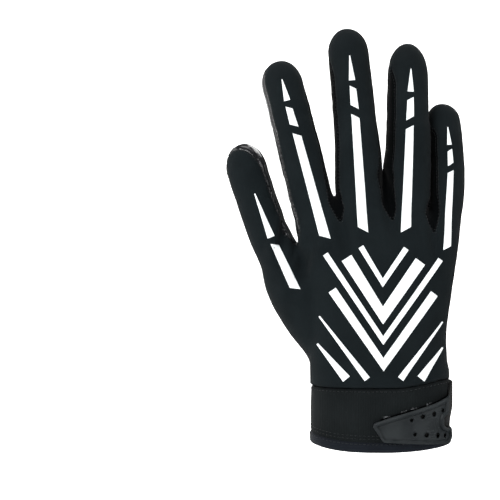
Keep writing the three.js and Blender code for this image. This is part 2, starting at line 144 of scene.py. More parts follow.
# %% Surround
tent_cloth = 0.78
tent_in_gloss = 0.08  # a glossy surface sees the panels, and little of the tent
tent_in_camera = 1.1  # beyond the paper the tent is as pale as the paper

world = bpy.data.worlds.new("white_tent")
bpy.context.scene.world = world
world.use_nodes = True
tent = world.node_tree
seen_by = put(tent, "ShaderNodeLightPath").outputs
strength = put(tent, "ShaderNodeValue").outputs[0]
strength.default_value = tent_cloth
for ray, wanted in (("Is Glossy Ray", tent_in_gloss), ("Is Camera Ray", tent_in_camera)):
    strength = calc(tent, "MULTIPLY_ADD", seen_by[ray], wanted - tent_cloth, strength)
feed(tent, tent.nodes["Background"], {"Color": (1, 1, 1, 1), "Strength": strength})
print("lights:", [lamp.name for lamp in bpy.data.lights])

# %% [markdown]
# ## Shared surface effects
#
# Two effects serve many finishes, so each is a group: the rows of a knit, which follow the direction that
# a face looks in, and a slow unevenness of shade, as dust and handling leave. On the loop pile the same
# unevenness gives painted glints.

# %% Group: rows of a knit
knit_rows, given, made = new_group("knit_rows", {"Wale": 0.6, "Course": 0.5, "Lean": 0.35}, ["Height"])
place = put(knit_rows, "ShaderNodeTexCoord").outputs
at = put(knit_rows, "ShaderNodeSeparateXYZ", {0: place["Object"]}).outputs
facing = put(knit_rows, "ShaderNodeSeparateXYZ", {0: place["Normal"]}).outputs
to_side, to_front = (calc(knit_rows, "ABSOLUTE", facing[axis]) for axis in "XY")
sideways = calc(knit_rows, "GREATER_THAN", to_side, to_front)
across = put(knit_rows, "ShaderNodeMix", {0: sideways, "A": at["X"], "B": at["Y"]}).outputs[0]
wale = calc(knit_rows, "DIVIDE", across, calc(knit_rows, "MULTIPLY", given["Wale"], mm))
course = calc(knit_rows, "DIVIDE", at["Z"], calc(knit_rows, "MULTIPLY", given["Course"], mm))
rib = calc(knit_rows, "ABSOLUTE", calc(knit_rows, "SINE", calc(knit_rows, "MULTIPLY", wale, math.pi)))
leaning = calc(knit_rows, "ADD", course, calc(knit_rows, "MULTIPLY", rib, given["Lean"]))
loop = calc(knit_rows, "SINE", calc(knit_rows, "MULTIPLY", leaning, 2 * math.pi))
loop_share = calc(knit_rows, "MULTIPLY_ADD", loop, 0.25, 0.75)
feed(knit_rows, made, {"Height": calc(knit_rows, "MULTIPLY", rib, loop_share)})

# %% Group: slow unevenness
fine_grain = 0.5
uneven, given, made = new_group("uneven", {"Size": 12.0, "Low": 0.0, "High": 1.0}, ["Value", "Fine"])
place = put(uneven, "ShaderNodeTexCoord").outputs["Object"]
scale = calc(uneven, "DIVIDE", 1 / mm, given["Size"])
slow = put(uneven, "ShaderNodeTexNoise", {"Vector": place, "Scale": scale, "Detail": 4.0})
limits = {"From Min": 0.35, "From Max": 0.65, "To Min": given["Low"], "To Max": given["High"]}
span = put(uneven, "ShaderNodeMapRange", {"Value": slow.outputs[0], **limits})
fine = put(uneven, "ShaderNodeTexNoise", {"Vector": place, "Scale": 1 / (fine_grain * mm), "Detail": 2.0})
feed(uneven, made, {"Value": span.outputs[0], "Fine": fine.outputs[0]})
print("groups:", [g.name for g in bpy.data.node_groups])

# %% [markdown]
# ## Finishes
#
# The cloths differ in the size of their knit, their shade and their sheen. The strips' near-black is painted
# shade of the hollows between the fingers. The palm's silicone film is almost a mirror, broken by fine orange
# peel and by smears that change its gloss. The tab is satin rubber.

# %% Cloth


def new_material(name):
    """A material, its tree and its Principled shader."""
    material = bpy.data.materials.new(name)
    material.use_nodes = True
    return material, material.node_tree, material.node_tree.nodes["Principled BSDF"]


def blend_colours(tree, share, low, high):
    """A mix of two colours by a socket."""
    ends = {0: share, "A": (*low, 1), "B": (*high, 1)}
    return put(tree, "ShaderNodeMix", ends, data_type="RGBA").outputs["Result"]


def cloth(name, dark, light, wale, course, roughness=0.9, sheen=0.02, depth=0.12, lean=0.35, shine=0.07):
    """A knit or woven cloth. wale, course and depth are in millimetres."""
    material, tree, shader = new_material(name)
    rows = put(tree, "ShaderNodeGroup", {"Wale": wale, "Course": course, "Lean": lean}, node_tree=knit_rows)
    rows = rows.outputs["Height"]
    dust = put(tree, "ShaderNodeGroup", {"Size": 22.0, "Low": 0.0, "High": 0.35}, node_tree=uneven).outputs
    height = calc(tree, "MULTIPLY_ADD", dust["Fine"], 0.35, rows)
    bump = put(tree, "ShaderNodeBump", {"Height": height, "Strength": 0.8, "Distance": depth * mm})
    share = calc(tree, "MULTIPLY_ADD", rows, 0.5, dust["Value"])
    feed(tree, shader, {
        "Base Color": blend_colours(tree, share, dark, light),
        "Roughness": calc(tree, "MULTIPLY_ADD", dust["Fine"], -0.12, roughness + 0.06),
        "Normal": bump.outputs[0],
        "Sheen Weight": sheen,
        "Sheen Roughness": 0.45,
        "Specular IOR Level": shine,
    })
    return material


fine_knit = (0.55, 0.45)
brushed = (0.4, 0.4)
knit_cloth = cloth("knit_cloth", (0.0026, 0.0044, 0.0053), (0.0068, 0.0100, 0.0114), *fine_knit, depth=0.16)
# The strips' near-black colour is painted shade of the hollows between the fingers.
strip_cloth_painted_shade = cloth(
    "strip_cloth_painted_shade", (0.0003, 0.0005, 0.0006), (0.0010, 0.0014, 0.0018), *fine_knit, sheen=0.03, shine=0.02
)
cuff_cloth = cloth("cuff_cloth", (0.0032, 0.0044, 0.0048), (0.0078, 0.0098, 0.0104), 0.9, 0.5, depth=0.2)
tape_cloth = cloth(
    "tape_cloth", (0.0034, 0.0048, 0.0072), (0.0080, 0.0105, 0.0150), 0.5, 0.9, 0.8, 0.05, 0.2
)
# Near black: painted shadow along the strap's edge where it shows over the tab.
hook_edge_painted_shadow = cloth(
    "hook_edge_painted_shadow", (0.0003, 0.0003, 0.0004), (0.0010, 0.0010, 0.0012), *brushed, 0.95, 0.0, 0.2, shine=0.02
)
strap_cloth = cloth(
    "strap_cloth", (0.0035, 0.0038, 0.004), (0.0105, 0.011, 0.011), *brushed, 0.95, 0.06, 0.25
)
lining_cloth = cloth("lining_cloth", (0.006, 0.006, 0.0065), (0.014, 0.0145, 0.016), 0.5, 0.5)
print_ink = cloth("print_ink", (0.66, 0.70, 0.71), (0.80, 0.83, 0.84), *fine_knit, 0.6, 0.0, 0.1)
thread = cloth(
    "sewing_thread", (0.006, 0.007, 0.008), (0.018, 0.020, 0.022), 0.25, 0.3, 0.6, 0.1, 0.05, lean=0.9
)

# %% Silicone film, rubber and paper


def moulded(name, dark, light, smooth_gloss, dull_gloss, peel, coat=0.0, shine=0.5, patch=9.0, glow=0.0):
    """A film or a moulding. The glosses are roughness values. peel and patch are in millimetres."""
    material, tree, shader = new_material(name)
    smear_and_glint_mask = put(tree, "ShaderNodeGroup", {"Size": patch, "Low": 0.0, "High": 1.0}, node_tree=uneven).outputs
    bump = put(tree, "ShaderNodeBump", {"Height": smear_and_glint_mask["Fine"], "Strength": 0.5, "Distance": peel * mm})
    feed(tree, shader, {
        "Base Color": blend_colours(tree, smear_and_glint_mask["Value"], dark, light),
        "Roughness": calc(tree, "MULTIPLY_ADD", smear_and_glint_mask["Value"], dull_gloss - smooth_gloss, smooth_gloss),
        "Normal": bump.outputs[0],
        "Coat Weight": coat,
        "Coat Roughness": 0.08,
        "Specular IOR Level": shine,
        "Emission Color": (1, 1, 1, 1),
        "Emission Strength": glow,
    })
    return material


grip_film = moulded("grip_film", (0.0035, 0.004, 0.0045), (0.0065, 0.0075, 0.0085), 0.08, 0.17, 0.02, 0.4)
grip_ink = moulded("grip_ink", (0.74, 0.77, 0.78), (0.88, 0.90, 0.91), 0.12, 0.22, 0.02, 0.4)
tab_rubber = moulded(
    "tab_rubber", (0.0085, 0.0112, 0.0128), (0.0135, 0.0172, 0.019), 0.44, 0.58, 0.04, shine=0.28
)
# Pale grey where the noise is high: painted glints on a few loops of pile.
pile_fibre_painted_glints = moulded("pile_fibre_painted_glints", (0.006, 0.007, 0.008), (0.20, 0.21, 0.22), 0.5, 0.7, 0.01, patch=2.2)
backdrop_paper = moulded("backdrop_paper", (0.93, 0.93, 0.93), (0.95, 0.95, 0.95), 0.8, 0.9, 0.02, glow=0.8)
print("materials:", [m.name for m in bpy.data.materials])

# %% [markdown]
# ## Mesh helpers
#
# A tube through rings of points gives fingers, hand and tape alike. A piece's faces are turned outwards
# by the sign of its volume, which works for any closed mesh.

# %% Mesh helpers


def shown(name, mesh):
    """An object of its own for a mesh, in the scene."""
    obj = bpy.data.objects.new(name, mesh)
    bpy.context.scene.collection.objects.link(obj)
    return obj


def volume_of(points, faces):
    """Six times the signed volume within closed faces."""
    total = 0.0
    for face in faces:
        a = points[face[0]]
        for k in range(1, len(face) - 1):
            total += float(np.dot(a, np.cross(points[face[k]], points[face[k + 1]])))
    return total


def new_piece(name, points, faces, materials, face_finish=None):
    """A closed mesh object from points in millimetres, in metres and facing outwards."""
    points = np.asarray(points, float)
    if volume_of(points, faces) < 0:
        faces = [list(face)[::-1] for face in faces]
    mesh = bpy.data.meshes.new(name)
    mesh.from_pydata((points * mm).tolist(), [], [list(face) for face in faces])
    for material in materials:
        mesh.materials.append(material)
    if face_finish is not None:
        mesh.polygons.foreach_set("material_index", np.asarray(face_finish, np.int32))
    mesh.polygons.foreach_set("use_smooth", [True] * len(mesh.polygons))
    return shown(name, mesh)


def applied(obj):
    """The object's mesh with its modifiers applied and removed."""
    graph = bpy.context.evaluated_depsgraph_get()
    mesh = bpy.data.meshes.new_from_object(obj.evaluated_get(graph))
    obj.modifiers.clear()
    old = obj.data
    obj.data = mesh
    bpy.data.meshes.remove(old)
    mesh.name = obj.name
    return obj


def vectors_of(mesh, field):
    """The vectors of a mesh's points, co or normal, as rows."""
    flat = np.empty(len(mesh.vertices) * 3, np.float32)
    mesh.vertices.foreach_get(field, flat)
    return flat.reshape(-1, 3).astype(float)


# %% Rows, sheets and tubes


def unit(vectors):
    """Rows of length 1."""
    return vectors / np.linalg.norm(vectors, axis=1)[:, None]


def evened(line, rounds):
    """A line of values or points, each averaged with its two neighbours. The ends stay."""
    line = line.copy()
    for _ in range(rounds):
        line[1:-1] = (line[:-2] + 2 * line[1:-1] + line[2:]) / 4
    return line


def joined(parts):
    """Points and faces of several parts as those of one."""
    faces = []
    start = 0
    for points, own in parts:
        faces += [[i + start for i in face] for face in own]
        start += len(points)
    return np.concatenate([points for points, _ in parts]), faces


def closed_sheet(top, bottom, triangles):
    """A closed mesh from two copies of a sheet and a rim."""
    count = len(top)
    directed = np.concatenate([triangles[:, [0, 1]], triangles[:, [1, 2]], triangles[:, [2, 0]]])
    key = directed[:, 0] * count + directed[:, 1]
    rim = directed[~np.isin(key, directed[:, 1] * count + directed[:, 0])]
    rim_faces = np.stack([rim[:, 1], rim[:, 0], rim[:, 0] + count, rim[:, 1] + count], 1)
    faces = triangles.tolist() + (triangles[:, ::-1] + count).tolist() + rim_faces.tolist()
    return np.concatenate([top, bottom]), faces


def tube(rings):
    """Points and faces of a closed tube through rings that all have the same count of points."""
    count = len(rings[0])
    ring = np.arange(count)
    faces = []
    for k in range(len(rings) - 1):
        a = k * count + ring
        b = k * count + (ring + 1) % count
        faces += np.stack([a, b, b + count, a + count], 1).tolist()
    faces.append(ring[::-1].tolist())
    faces.append(((len(rings) - 1) * count + ring).tolist())
    return np.concatenate(rings), faces


def signed_power(x, power):
    """A power that keeps the sign."""
    return np.sign(x) * np.abs(x) ** power


def oval(count, power):
    """Unit superellipse points, as two arrays."""
    angle = (np.arange(count) + 0.5) / count * 2 * np.pi
    return signed_power(np.cos(angle), 2 / power), signed_power(np.sin(angle), 2 / power)


def smooth_step(low, high, x):
    """0 at low and 1 at high, with soft ends."""
    t = np.clip((x - low) / (high - low), 0, 1)
    return t * t * (3 - 2 * t)


def bell(x, width):
    """1 where x is 0, falling on both sides."""
    return np.exp(-((x / width) ** 2))


def finish_piece(obj, slot, *nodes):
    """The piece rides on the glove's one body and stands for CAD nodes, which are hidden. slot is not used.
    """
    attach(obj, "root")
    if nodes:
        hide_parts(*nodes)
    print(obj.name, len(obj.data.polygons), "faces")


# %% [markdown]
# ## Backdrop
#
# A sheet of pale paper that runs from the floor up behind the glove in one curve, so no edge shows.

# %% Backdrop
paper_reach = 3000.0
floor_level = -160.0
wall_distance = 2600.0
bend = 900.0
profile = [(-2500.0, floor_level)]
for k in range(13):
    turn = math.radians(90 * k / 12)
    profile.append((wall_distance - bend + bend * math.sin(turn), floor_level + bend - bend * math.cos(turn)))
profile.append((wall_distance, 2600.0))
paper_points = [(x, y, z) for x in (-paper_reach, paper_reach) for y, z in profile]
steps = len(profile)
paper_faces = [[k, k + 1, k + 1 + steps, k + steps] for k in range(steps - 1)]
paper_mesh = bpy.data.meshes.new("backdrop")
paper_mesh.from_pydata([tuple(c * mm for c in p) for p in paper_points], [], paper_faces)
paper_mesh.polygons.foreach_set("use_smooth", [True] * len(paper_faces))
paper_mesh.materials.append(backdrop_paper)
backdrop = shown("backdrop", paper_mesh)
backdrop.visible_glossy = False

# %% [markdown]
# ## The hand's form
#
# All the hand's panels are sewn into one surface, so it is made as one and parted along the seams later.
# Each digit is a tube of oval sections along a curved centre line, from the same table as the CAD
# model's, with more sections. The palm and knuckles are a second tube.

# %% Sizes
glove_length = 228.2
knuckle_height = 119.4
half_width = 91.4 / 2
half_depth = 29 / 2
finger_width = 24.5
finger_depth = 22.5
cloth_wall = 1.4
hand_offset = 1.0
cuff_half = np.array([75.8 / 2, 47 / 2])
cuff_height = 30.5
cuff_wall = 2.2
hem_droop = 3.4
cuff_rise = 4.2
seam_gap = 0.3
body_roundness = 2.5
digit_roundness = 2.15
depth_flare = 0.45
crotch_fall = 0.055

# foot and tip are shares of half the knuckle width (X) and of knuckle height and glove length (Z).
digits = {
    "index": dict(foot=(-0.7, 0.864), tip=(-1.254, 0.919), bow=0, lift=0, curl=1.1, width=0.955,
                  depth=0.95, flare=0.06, taper=0.05, round=0.56, twist=-8),
    "middle": dict(foot=(-0.2, 0.864), tip=(-0.41, 1), bow=0, lift=-0.1, curl=1.25, width=0.965,
                   depth=1, flare=0.04, taper=0.09, round=0.56, twist=0),
    "ring": dict(foot=(0.208, 0.864), tip=(0.345, 0.966), bow=0.05, lift=-0.03, curl=1.35, width=0.945,
                 depth=0.95, flare=0.02, taper=0.07, round=0.78, twist=12),
    "little": dict(foot=(0.646, 0.796), tip=(0.76, 0.816), bow=0.17, lift=0.17, curl=1.25, width=0.79,
                   depth=0.8, flare=0.1, taper=0.04, round=0.5, twist=34),
    "thumb": dict(foot=(-0.42, 0.36), tip=(-1.7, 0.718), bow=-0.32, lift=0.5, curl=0.35, width=0.95,
                  depth=0.96, flare=0.45, taper=0.05, round=0.6, twist=-18),
    "ball": dict(foot=(-0.44, 0.37), tip=(-1.31, 0.468), bow=-0.12, lift=0.5, curl=0.1, width=1.27,
                 depth=1.34, flare=-0.1, taper=0.03, round=0.95, twist=-22),
}
# up is a share of the knuckle height, left and right of half the knuckle width, back and front of depth.
body_rows = [
    (0.285, -0.86, 0.8, 1.48, 1.5),
    (0.364, -0.87, 0.777, 1.36, 1.42),
    (0.507, -0.853, 0.766, 1.22, 1.46),
    (0.709, -0.897, 0.851, 1.09, 1.3),
    (0.863, -0.974, 0.895, 1.03, 1.12),
    (1.0, -1.06, 0.928, 0.95, 0.97),
    (1.055, -1.045, 0.915, 0.76, 0.78),
    (1.085, -0.99, 0.87, 0.44, 0.44),
]

# %% Digits


def digit_centre(d, t):
    """Points on a digit's centre line at shares t of its length."""
    t = np.atleast_1d(np.asarray(t, float))
    foot, tip = (
        np.array([hand_offset + share[0] * half_width, d["lift"] * half_depth, share[1] * height])
        for share, height in ((d["foot"], knuckle_height), (d["tip"], glove_length))
    )
    along = tip - foot
    side = np.array([along[2], 0, -along[0]]) / np.hypot(along[0], along[2])
    centre = foot + np.outer(t, along) + np.outer(d["bow"] * finger_width * 4 * t * (1 - t), side)
    centre[:, 1] += d["curl"] * half_depth * np.maximum(0, t) ** 2.5
    return centre


def digit_axes(d, t):
    """Sideways and palmward directions at shares t, turned by the digit's twist."""
    forward = unit(digit_centre(d, np.asarray(t) + 0.01) - digit_centre(d, np.asarray(t) - 0.01))
    flat = unit(np.cross([0, 1, 0], forward))
    up = np.cross(forward, flat)
    turn = math.radians(d["twist"])
    u = flat * math.cos(turn) + up * math.sin(turn)
    return u, np.cross(forward, u)


def digit_tube(d, sides=56):
    """A digit's closed tube, with sections close together round its tip."""
    ends = digit_centre(d, [0, 1])
    length = np.linalg.norm(ends[1] - ends[0])
    cap = d["round"] * d["width"] * finger_width
    turn = np.radians(np.linspace(90, 4, 18))
    t = np.concatenate([np.linspace(0, 1 - cap / length, 28)[:-1], 1 - cap * (1 - np.cos(turn)) / length])
    end = np.concatenate([np.ones(27), np.sin(turn)])
    bulk = 1 - d["taper"] * t * t
    flare = d["flare"] * (1 - t) ** 3
    a = d["width"] * finger_width / 2 * (bulk + flare) * end
    b = d["depth"] * finger_depth / 2 * (bulk + flare * depth_flare) * end
    centre = digit_centre(d, t)
    u, v = digit_axes(d, t)
    x, y = oval(sides, digit_roundness)
    return tube([centre[k] + np.outer(a[k] * x, u[k]) + np.outer(b[k] * y, v[k]) for k in range(len(t))])


# %% Palm and knuckles


def body_tube(sides=112, levels=72):
    """The hand from inside the cuff to above the knuckles, its rows eased into one another."""
    wide, deep = cuff_half - cuff_wall - seam_gap
    rows = [(z, -wide, wide, deep, deep, 0.0) for z in (cuff_height - 8, cuff_height + 0.3)]
    for up, left, right, back, front in body_rows:
        fall = crotch_fall * knuckle_height * float(smooth_step(0.7, 1, up))
        ends = (hand_offset + left * half_width, hand_offset + right * half_width)
        rows.append((up * knuckle_height, *ends, back * half_depth, front * half_depth, fall))
    spot = np.linspace(0, len(rows) - 1, levels)
    table = np.stack([np.interp(spot, np.arange(len(rows)), column) for column in np.array(rows).T], 1)
    x, y = oval(sides, body_roundness)
    rings = []
    for z, left, right, back, front, fall in evened(table, 8):
        across = (left + right) / 2 + (right - left) / 2 * x
        deep = np.where(y > 0, front, back) * y
        lean = fall * (across - (left + right) / 2) / half_width
        rings.append(np.stack([across, deep, z - lean], 1))
    return tube(rings)


# %% [markdown]
# ## One skin
#
# The tubes overlap at the roots of the fingers. A voxel remesh wraps them in one even skin, and rounds of
# averaging then let the cloth bridge the valleys, as it does on a hand. The valleys at the knuckles and at
# the joint of the thumb get more rounds than the rest.

# %% Wrap the tubes in one skin
voxel = 1.0
points, faces = joined([body_tube(), *(digit_tube(d) for d in digits.values())])
hand = new_piece("hand_skin", points, faces, [knit_cloth])
wrap = hand.modifiers.new("wrap", "REMESH")
wrap.mode = "VOXEL"
wrap.voxel_size = voxel * mm
applied(hand)
skin = vectors_of(hand.data, "co") / mm
print("skin:", len(skin), "points")

# %% Ease the valleys
edges = np.empty(len(hand.data.edges) * 2, np.int64)
hand.data.edges.foreach_get("vertices", edges)
edges = edges.reshape(-1, 2)
neighbours = np.bincount(edges.ravel(), minlength=len(skin)).astype(float)


def averaged(values):
    """Each point's mean over its neighbours."""
    out = np.empty_like(values)
    for axis in range(values.shape[1]):
        column = values[:, axis]
        out[:, axis] = np.bincount(edges[:, 0], column[edges[:, 1]], len(values))
        out[:, axis] += np.bincount(edges[:, 1], column[edges[:, 0]], len(values))
    return out / neighbours[:, None]


def blurred(values, rounds):
    """One column or several of values on the skin, each evened out with its neighbours."""
    table = values.reshape(len(values), -1)
    for _ in range(rounds):
        table = 0.5 * table + 0.5 * averaged(table)
    return table.reshape(values.shape)


def eased(points, rounds, share):
    """Points of the skin moved towards their neighbours' mean, each by its own share."""
    for _ in range(rounds):
        points = points + share[:, None] * (averaged(points) - points)
    return points


def near(points, centre, reach):
    """1 at a centre, falling to 0 at a reach."""
    return 1 - smooth_step(0.3 * reach, reach, np.linalg.norm(points - np.array(centre), axis=1))


even_rounds = 8
valley_rounds = 60
skin = eased(skin, even_rounds, np.full(len(skin), 0.5))
knuckle_line = 124 - 0.07 * skin[:, 0]
at_knuckles = bell(skin[:, 2] - knuckle_line, 11)
thumb_joint = near(skin, (-52, 8, 88), 26)
thumb_root = near(skin, (-30, 12, 45), 24)
skin = eased(skin, valley_rounds, 0.5 * np.clip(at_knuckles + thumb_joint + thumb_root, 0, 1))

# %% Meet the cuff


def oval_norm(points, half):
    """1 on an oval of half sizes, less inside it."""
    return np.sum(np.abs(points[:, :2] / half) ** body_roundness, axis=1) ** (1 / body_roundness)


def cuff_top(x, y):
    """The cuff's upper edge, which rises towards the strap on the back of the hand."""
    return cuff_height + cuff_rise * smooth_step(0.15, 1.0, x / cuff_half[0]) * smooth_step(8, -8, y)


# Above the cuff the skin comes down flush with it. Under the cuff it keeps within it.
over_cuff = skin[:, 2] - cuff_top(skin[:, 0], skin[:, 1])
thumb_side = smooth_step(5, -20, skin[:, 0])
flush = 1 - smooth_step(2 + 6 * thumb_side, 12 + 9 * thumb_side, over_cuff)
short = np.minimum(1, oval_norm(skin, cuff_half - 0.1 + 0.7 * thumb_side[:, None]))
skin[:, :2] *= (1 + flush * (1 / short - 1))[:, None]
under_cuff = 1 - smooth_step(0.1, 1.1, over_cuff)
past = np.maximum(1, oval_norm(skin, cuff_half - cuff_wall - seam_gap - 0.3))
skin[:, :2] *= (1 + under_cuff * (1 / past - 1))[:, None]


def put_skin(points):
    """Gives the hand's mesh its moved points. Returns their normals."""
    hand.data.vertices.foreach_set("co", (points * mm).ravel())
    hand.data.update()
    return vectors_of(hand.data, "normal")


normals = put_skin(skin)
print("skin box:", skin.min(0).round(1), skin.max(0).round(1), "mm")

# %% [markdown]
# ## Where the seams run
#
# The CAD panels meet along the seams, so each point of the skin measures its distance to every panel. The
# difference of two distances is zero on the seam between them and grows with the distance from it, which
# gives the seam, a groove along it and lines of stitches beside it. A few rounds of averaging take the
# facets' corners out of the lines. Tables of straight lines then draw the film and the strips round the
# fingers' sides as far as the photograph shows them there.

# %% Distances to the CAD panels


def tree_from(objects):
    """A search tree over the objects' meshes."""
    points, faces = [], []
    for obj in objects:
        start = len(points)
        points += [v.co.copy() for v in obj.data.vertices]
        faces += [[i + start for i in p.vertices] for p in obj.data.polygons]
    return BVHTree.FromPolygons(points, faces)


strip_names = ["strip_index_middle", "strip_middle_ring", "strip_ring_little"]
distance = {}
for name in ["palm_panel", "back_panel", *strip_names]:
    near_panel = tree_from([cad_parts[name]])
    distance[name] = np.array([near_panel.find_nearest(Vector(p))[3] for p in skin * mm]) / mm
strip_distance = np.min([distance[n] for n in strip_names], axis=0)
palm_side = distance["palm_panel"] - np.minimum(distance["back_panel"], strip_distance)
back_side = distance["back_panel"] - strip_distance
palm_side, back_side = blurred(np.stack([palm_side, back_side], 1), 6).T

# %% Seams drawn round the fingers
# Each row is one end's X, Z, shift and reach and then the other's. The film is drawn round along these:
film_edges = [
    (-79, 150, 8, 12, -74, 161, 10, 12), (-74, 163, 10, 10, -64, 156, 10, 10),
    (-64, 154, 8, 9, -47, 116, 8, 9), (-84, 140, 3, 8, -70, 100, 3, 8),
    (-65, 201, 9, 11, -56, 166, 9.5, 10), (-65, 201, 7, 9, -58, 209, 4, 8),
]
# The strips are drawn round along these, and down from the crotches, where their near-black cloth is painted
# shade of the hollows:
strip_edges = [
    (-25.4, 136, 4.5, 8, -28.6, 212, 2.5, 7), (2.6, 146, 5.5, 8, 6.5, 208, 3, 8),
    (28, 132, 2.5, 6, 30, 178, 1, 5), (-24.6, 131, 13, 6.5, -20.5, 109, 17, 2),
    (1.6, 147, 10, 7, 7, 116, 14, 2), (27, 130, 10, 6, 30, 105, 14, 2),
]


def along_line(points, x0, z0, x1, z1):
    """Each point's distance in X and Z to a straight line, and its share along the line."""
    start = np.array([x0, z0], float)
    run = np.array([x1, z1], float) - start
    t = np.clip((points[:, [0, 2]] - start) @ run / (run @ run), 0, 1)
    return np.linalg.norm(points[:, [0, 2]] - start - t[:, None] * run, axis=1), t


def drawn_round(table):
    """How far each point's seam is shifted, from a table of edges."""
    shift = np.zeros(len(skin))
    for x0, z0, shift0, reach0, x1, z1, shift1, reach1 in table:
        away, t = along_line(skin, x0, z0, x1, z1)
        most = shift0 + (shift1 - shift0) * t
        reach = reach0 + (reach1 - reach0) * t
        shift = np.maximum(shift, most * (1 - smooth_step(0.35, 1, away / reach)))
    return blurred(shift, 10)


# %% The film's margin on the index finger
# Beside the thumb the film shows as a narrow margin along the index finger. The thumb's side of the
# line between the two digits is left alone.
margin_low = 120.0
margin_high = 182.0
margin_widths = (1.1, 2.1)
margin_slope = 3.0
between_digits = ([118, 126, 160, 200], [-47.6, -50.6, -60, -72])
slot_height = 1.5
gap_reach = 9.0  # more than half of any gap between two fingers


def least_by_height(z, values, chosen, low, high, rounds):
    """The least value of the chosen points in each slot of height, evened and read at every point."""
    slots = np.arange(low, high, slot_height)
    least = np.full(len(slots), gap_reach)
    spot = np.clip(((z - slots[0]) / slot_height).astype(int), 0, len(slots) - 1)
    np.minimum.at(least, spot[chosen], values[chosen])
    least[least > gap_reach - 0.1] = 0  # an empty slot
    return np.interp(z, slots + slot_height / 2, evened(least, rounds))


def film_margin(points):
    """How far each point lies within the margin's line. It is negative on the film."""
    x, z = points[:, 0], points[:, 2]
    low, high = margin_low - 9, margin_high + 10
    finger = (x > np.interp(z, *between_digits)) & (z > low) & (z < high)
    edge = least_by_height(z, x, finger, low, high, 4)
    width = np.interp(z, [margin_low, margin_high], margin_widths)
    ends = smooth_step(margin_low + 6, margin_low - 3, z) + smooth_step(margin_high - 12, margin_high, z)
    return np.where(finger, margin_slope * (x - edge - width) + 15 * ends, 99.0)


palm_side = blurred(np.minimum(palm_side - drawn_round(film_edges), film_margin(skin)), 3)
back_side = back_side + drawn_round(strip_edges) * (skin[:, 1] < 8)
print("palm share:", round(float((palm_side < 0).mean()), 3))

# %% [markdown]
# ## Folds and grooves
#
# Where two fingers of the plain form stand too far apart, their facing sides come together first. Then the
# skin moves along its normals: in a groove at each seam, in soft creases where the joints bend, and by a
# slow noise, because sewn cloth is never quite even. A crease is a short line on one side of the hand.

# %% Creases
# X and Z of both ends, depth and half width, in millimetres.
back_creases = [
    (-58, 176, -38, 181, 0.35, 2.0), (-55, 167, -37, 170, 0.25, 1.8),
    (-28, 187, -5, 189, 0.35, 2.0), (-26, 178, -5, 179, 0.2, 1.8),
    (4, 180, 26, 177, 0.35, 2.0), (5, 171, 25, 169, 0.2, 1.6),
    (27, 156, 44, 153, 0.3, 1.8), (-74, 128, -56, 138, 0.35, 2.2),
    (-44, 94, -37, 117, 1.7, 3.4), (-49, 80, -41, 100, 1.3, 3.0), (-55, 98, -52.5, 121, 2.4, 2.2),
    (-62, 98, -55.5, 122, -0.9, 2.4), (-49.5, 98, -47.5, 113, 1.6, 2.0),
    (-36, 44, -14, 38, 0.4, 2.5), (8, 37, 32, 42, 0.4, 2.4),
    (-24, 130, -18, 103, 1.5, 2.8), (2.5, 145, 8, 108, 1.6, 2.8), (27.5, 130, 31, 98, 1.5, 2.6),
]
palm_creases = [
    (-59, 180, -39, 185, 0.3, 2.6), (-52, 153, -33, 155, 0.35, 3.0), (-44, 132, -26, 133, 0.35, 3.0),
    (-27, 189, -4, 189, 0.3, 2.6), (-24, 159, -2, 159, 0.35, 3.0), (-22, 135, 0, 135, 0.35, 3.0),
    (5, 181, 27, 179, 0.3, 2.6), (2, 151, 25, 149, 0.35, 3.0), (2, 131, 22, 129, 0.35, 3.0),
    (26, 158, 44, 155, 0.25, 2.4), (26, 143, 44, 140, 0.35, 2.6),
    (-73, 141, -58, 150, 0.25, 2.4), (-68, 114, -50, 122, 0.5, 3.0),
    (-38, 104, 6, 98, 0.45, 4.0), (-6, 92, 36, 100, 0.4, 4.0), (-33, 86, -8, 50, 0.55, 4.5),
    (8, 84, 28, 64, 0.3, 3.6), (-34, 40, -6, 36, 0.5, 2.4), (2, 36, 30, 39, 0.5, 2.4),
    (-26, 48, 4, 44, 0.3, 2.4),
]


def crease_depth(points, creases):
    """How deep the creases are at each point."""
    total = np.zeros(len(points))
    for x0, z0, x1, z1, depth, width in creases:
        away, t = along_line(points, x0, z0, x1, z1)
        bow = math.hypot(x1 - x0, z1 - z0) * 0.05 * np.sin(math.pi * t)
        fade = np.sin(math.pi * np.clip(t, 0.04, 0.96)) ** 0.5
        total += depth * fade * (bell(away - bow, width) - 0.45 * bell(away - 2 * width, width))
    return total


# %% Gaps between the fingers
# X and Z at the gap's foot and top, half its width at each, and how far up the change fades out.
finger_gaps = [
    (-24.9, 131, -29.5, 160, 0.4, 4.7, 14), (1.2, 147, 2.1, 166, 0.1, 2.2, 16),
    (27.1, 126, 28.1, 176, 0.1, 0.1, 5),
]


def narrowed(points, normals):
    """The points, with the facing sides of two fingers brought together where their gap is too wide."""
    points = points.copy()
    for x0, z0, x1, z1, foot, top, fade in finger_gaps:
        x, z = points[:, 0], points[:, 2]
        share = (z - z0) / (z1 - z0)
        middle = np.interp(share, [0, 1], [x0, x1])
        wanted = np.interp(share, [0, 1], [foot, top])
        inside = smooth_step(z0 - 4, z0 + 1, z) * (1 - smooth_step(z1 - fade, z1 + fade, z))
        for side in (-1, 1):
            off = (x - middle) * side
            facing = (off > 0) & (off < gap_reach) & (normals[:, 0] * side < -0.2) & (inside > 0)
            nearest = least_by_height(z, off, facing, z0 - 6, z1 + fade + 3, 3)
            turned = smooth_step(0.0, 0.6, -normals[:, 0] * side) * (off > -1) * (off < gap_reach + 2)
            points[:, 0] -= side * np.maximum(0, nearest - wanted) * inside * turned
    return points


# %% Move the skin
groove_width = 0.9
groove_depth = 0.5
film_lip = 0.22  # the film's edge stands up beside the seam
lip_place = 1.9
lip_width = 0.8
waviness = 0.3
wave_length = 17.0
ripple_length = 7.0
finger_fullness = 0.4
finger_roots = (118, 135)  # heights between which the fingers grow fuller
under_cuff_fade = (24, 34)  # and between which the cuff lets go of the cloth

